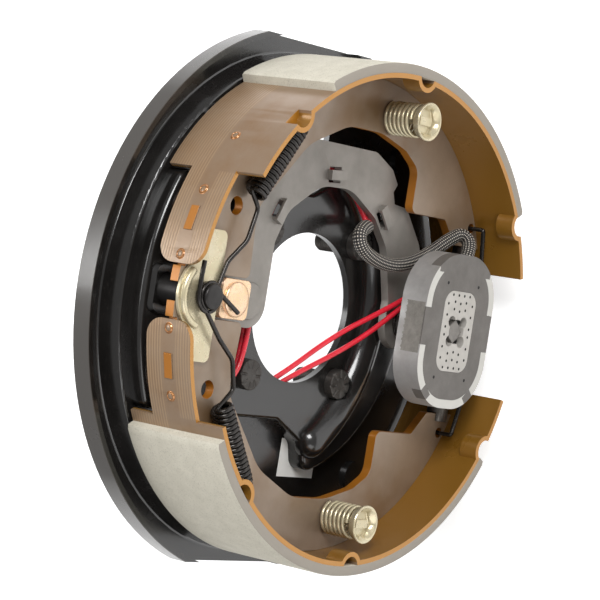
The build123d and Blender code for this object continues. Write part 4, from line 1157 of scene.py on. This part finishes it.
@dataclass
class Studio:
    """Pale floor, soft lights and the camera at the photograph's viewing angle."""

    eye: tuple[float, float, float] = (2.36, -826.9, 1032.6)
    right: tuple[float, float, float] = (0.16673, -0.77054, -0.61520)
    up: tuple[float, float, float] = (0.98600, 0.12885, 0.10584)
    back: tuple[float, float, float] = (-0.00228, -0.62424, 0.78123)
    focal_pixels: float = 2651.8
    swing: float = 0.0155
    anchor_z: float = ANCHOR_Z

    def camera(self) -> None:
        """Camera fitted to the photograph, turned about the anchor by half of the shoes' swing."""
        data = bpy.data.cameras.new("camera")
        data.sensor_width = 36.0
        data.lens = self.focal_pixels / 600 * data.sensor_width
        data.clip_start, data.clip_end = 0.05, 20.0
        eye = link(data, "camera")
        axes = Matrix((self.right, self.up, self.back)).transposed().to_4x4()
        axes.translation = Vector(self.eye) * MM
        pivot = Matrix.Translation((0, 0, self.anchor_z * MM))
        turn = Matrix.Rotation(self.swing, 4, "Y")
        eye.matrix_world = pivot @ turn @ pivot.inverted() @ axes
        bpy.context.scene.camera = eye

    def lamp(self, name: str, where: tuple[float, float, float], size: float, power: float) -> None:
        """Square soft lamp that faces the brake.

        Args:
            name: The lamp's name.
            where: Its place in metres.
            size: Its side in metres.
            power: Its power in watts.
        """
        data = bpy.data.lights.new(name, "AREA")
        data.size = size
        data.energy = power
        lamp = link(data, name)
        lamp.location = where
        lamp.rotation_mode = "QUATERNION"
        lamp.rotation_quaternion = (-Vector(where)).to_track_quat("-Z", "Y")

    def white(self, material: bpy.types.Material) -> None:
        """Pale matt stage that adds light of its own only for the camera and reflections."""
        material.use_nodes = True
        tree = material.node_tree
        tree.nodes.clear()
        rays = add_node(tree, "ShaderNodeLightPath")
        seen = calc(tree, "MAXIMUM", rays.outputs["Is Camera Ray"], rays.outputs["Is Glossy Ray"])
        through = calc(tree, "MAXIMUM", seen, rays.outputs["Is Transmission Ray"])
        added = calc(tree, "MULTIPLY", through, 0.55)
        glow = add_node(tree, "ShaderNodeEmission", {"Color": (1, 1, 1, 1), "Strength": added})
        matt = add_node(tree, "ShaderNodeBsdfDiffuse", {"Color": (0.82, 0.82, 0.82, 1)})
        both = add_node(tree, "ShaderNodeAddShader", {0: glow.outputs[0], 1: matt.outputs[0]})
        add_node(tree, "ShaderNodeOutputMaterial", {"Surface": both.outputs[0]})

    def floor(self) -> None:
        """Wide pale floor under the brake."""
        low = cad_box[0][2] - 0.0005
        grid = np.array([[(x, y, low) for x in (-6.0, 6.0)] for y in (-6.0, 6.0)])
        floor = surface("studio_floor", grid, around=False, capped=False)
        material = bpy.data.materials.new("studio_floor")
        self.white(material)
        floor.data.materials.append(material)

    def build(self) -> None:
        """Make the stage, its lamps and its camera."""
        scene = bpy.context.scene
        scene.view_settings.view_transform = "Standard"
        world = bpy.data.worlds.new("studio") if scene.world is None else scene.world
        scene.world = world
        world.use_nodes = True
        tree = world.node_tree
        tree.nodes.clear()
        rays = add_node(tree, "ShaderNodeLightPath")
        strength = ramp(tree, rays.outputs["Is Camera Ray"], 0.0, 1.0, 0.45, 1.0)
        sky = add_node(tree, "ShaderNodeBackground", {"Color": (1, 1, 1, 1), "Strength": strength})
        add_node(tree, "ShaderNodeOutputWorld", {"Surface": sky.outputs[0]})
        self.camera()
        self.floor()
        self.lamp("key_lamp", (1.1, -1.1, 1.4), 0.8, 34)
        self.lamp("fill_lamp", (-1.2, -1.2, 0.7), 1.2, 10)
        self.lamp("rim_lamp", (0.2, 0.9, 1.6), 0.8, 12)


def main() -> None:
    """Build the brake, piece by piece, and its studio."""
    logging.basicConfig(level=logging.INFO, format="%(name)s %(message)s")
    Studio().build()
    Wiring().build()
    BackingPlate().build()
    Stud().build()
    Anchor().build()
    Shoe("primary", 1, 59.0, 148.6).build()
    Shoe("secondary", -1, 31.8, 148.8).build()
    RetractorSpring("primary", 1, 197.5, 285.0, 29.65,
                    ((17, 92.5, 29.65), (28, 84.5, 32.8), (44, 80.3, 32.8)),
                    ((-6, 82, 31.9), (1.2, 95.6, 31.7), (4.0, 99.6, 30.2))).build()
    RetractorSpring("secondary", -1, -45.0, 402.0, 32.25,
                    ((-19, 93, 32.25), (-28, 81.5, 32.8), (-42, 77.5, 32.8)),
                    ((16, 111.5, 32.25), (7, 112, 32.25)), outer_hook=8.0).build()
    HoldDown("primary", 1).build()
    HoldDown("secondary", -1).build()
    Adjuster().build()
    Lever().build()
    Magnet().build()


if __name__ == "__main__":
    main()
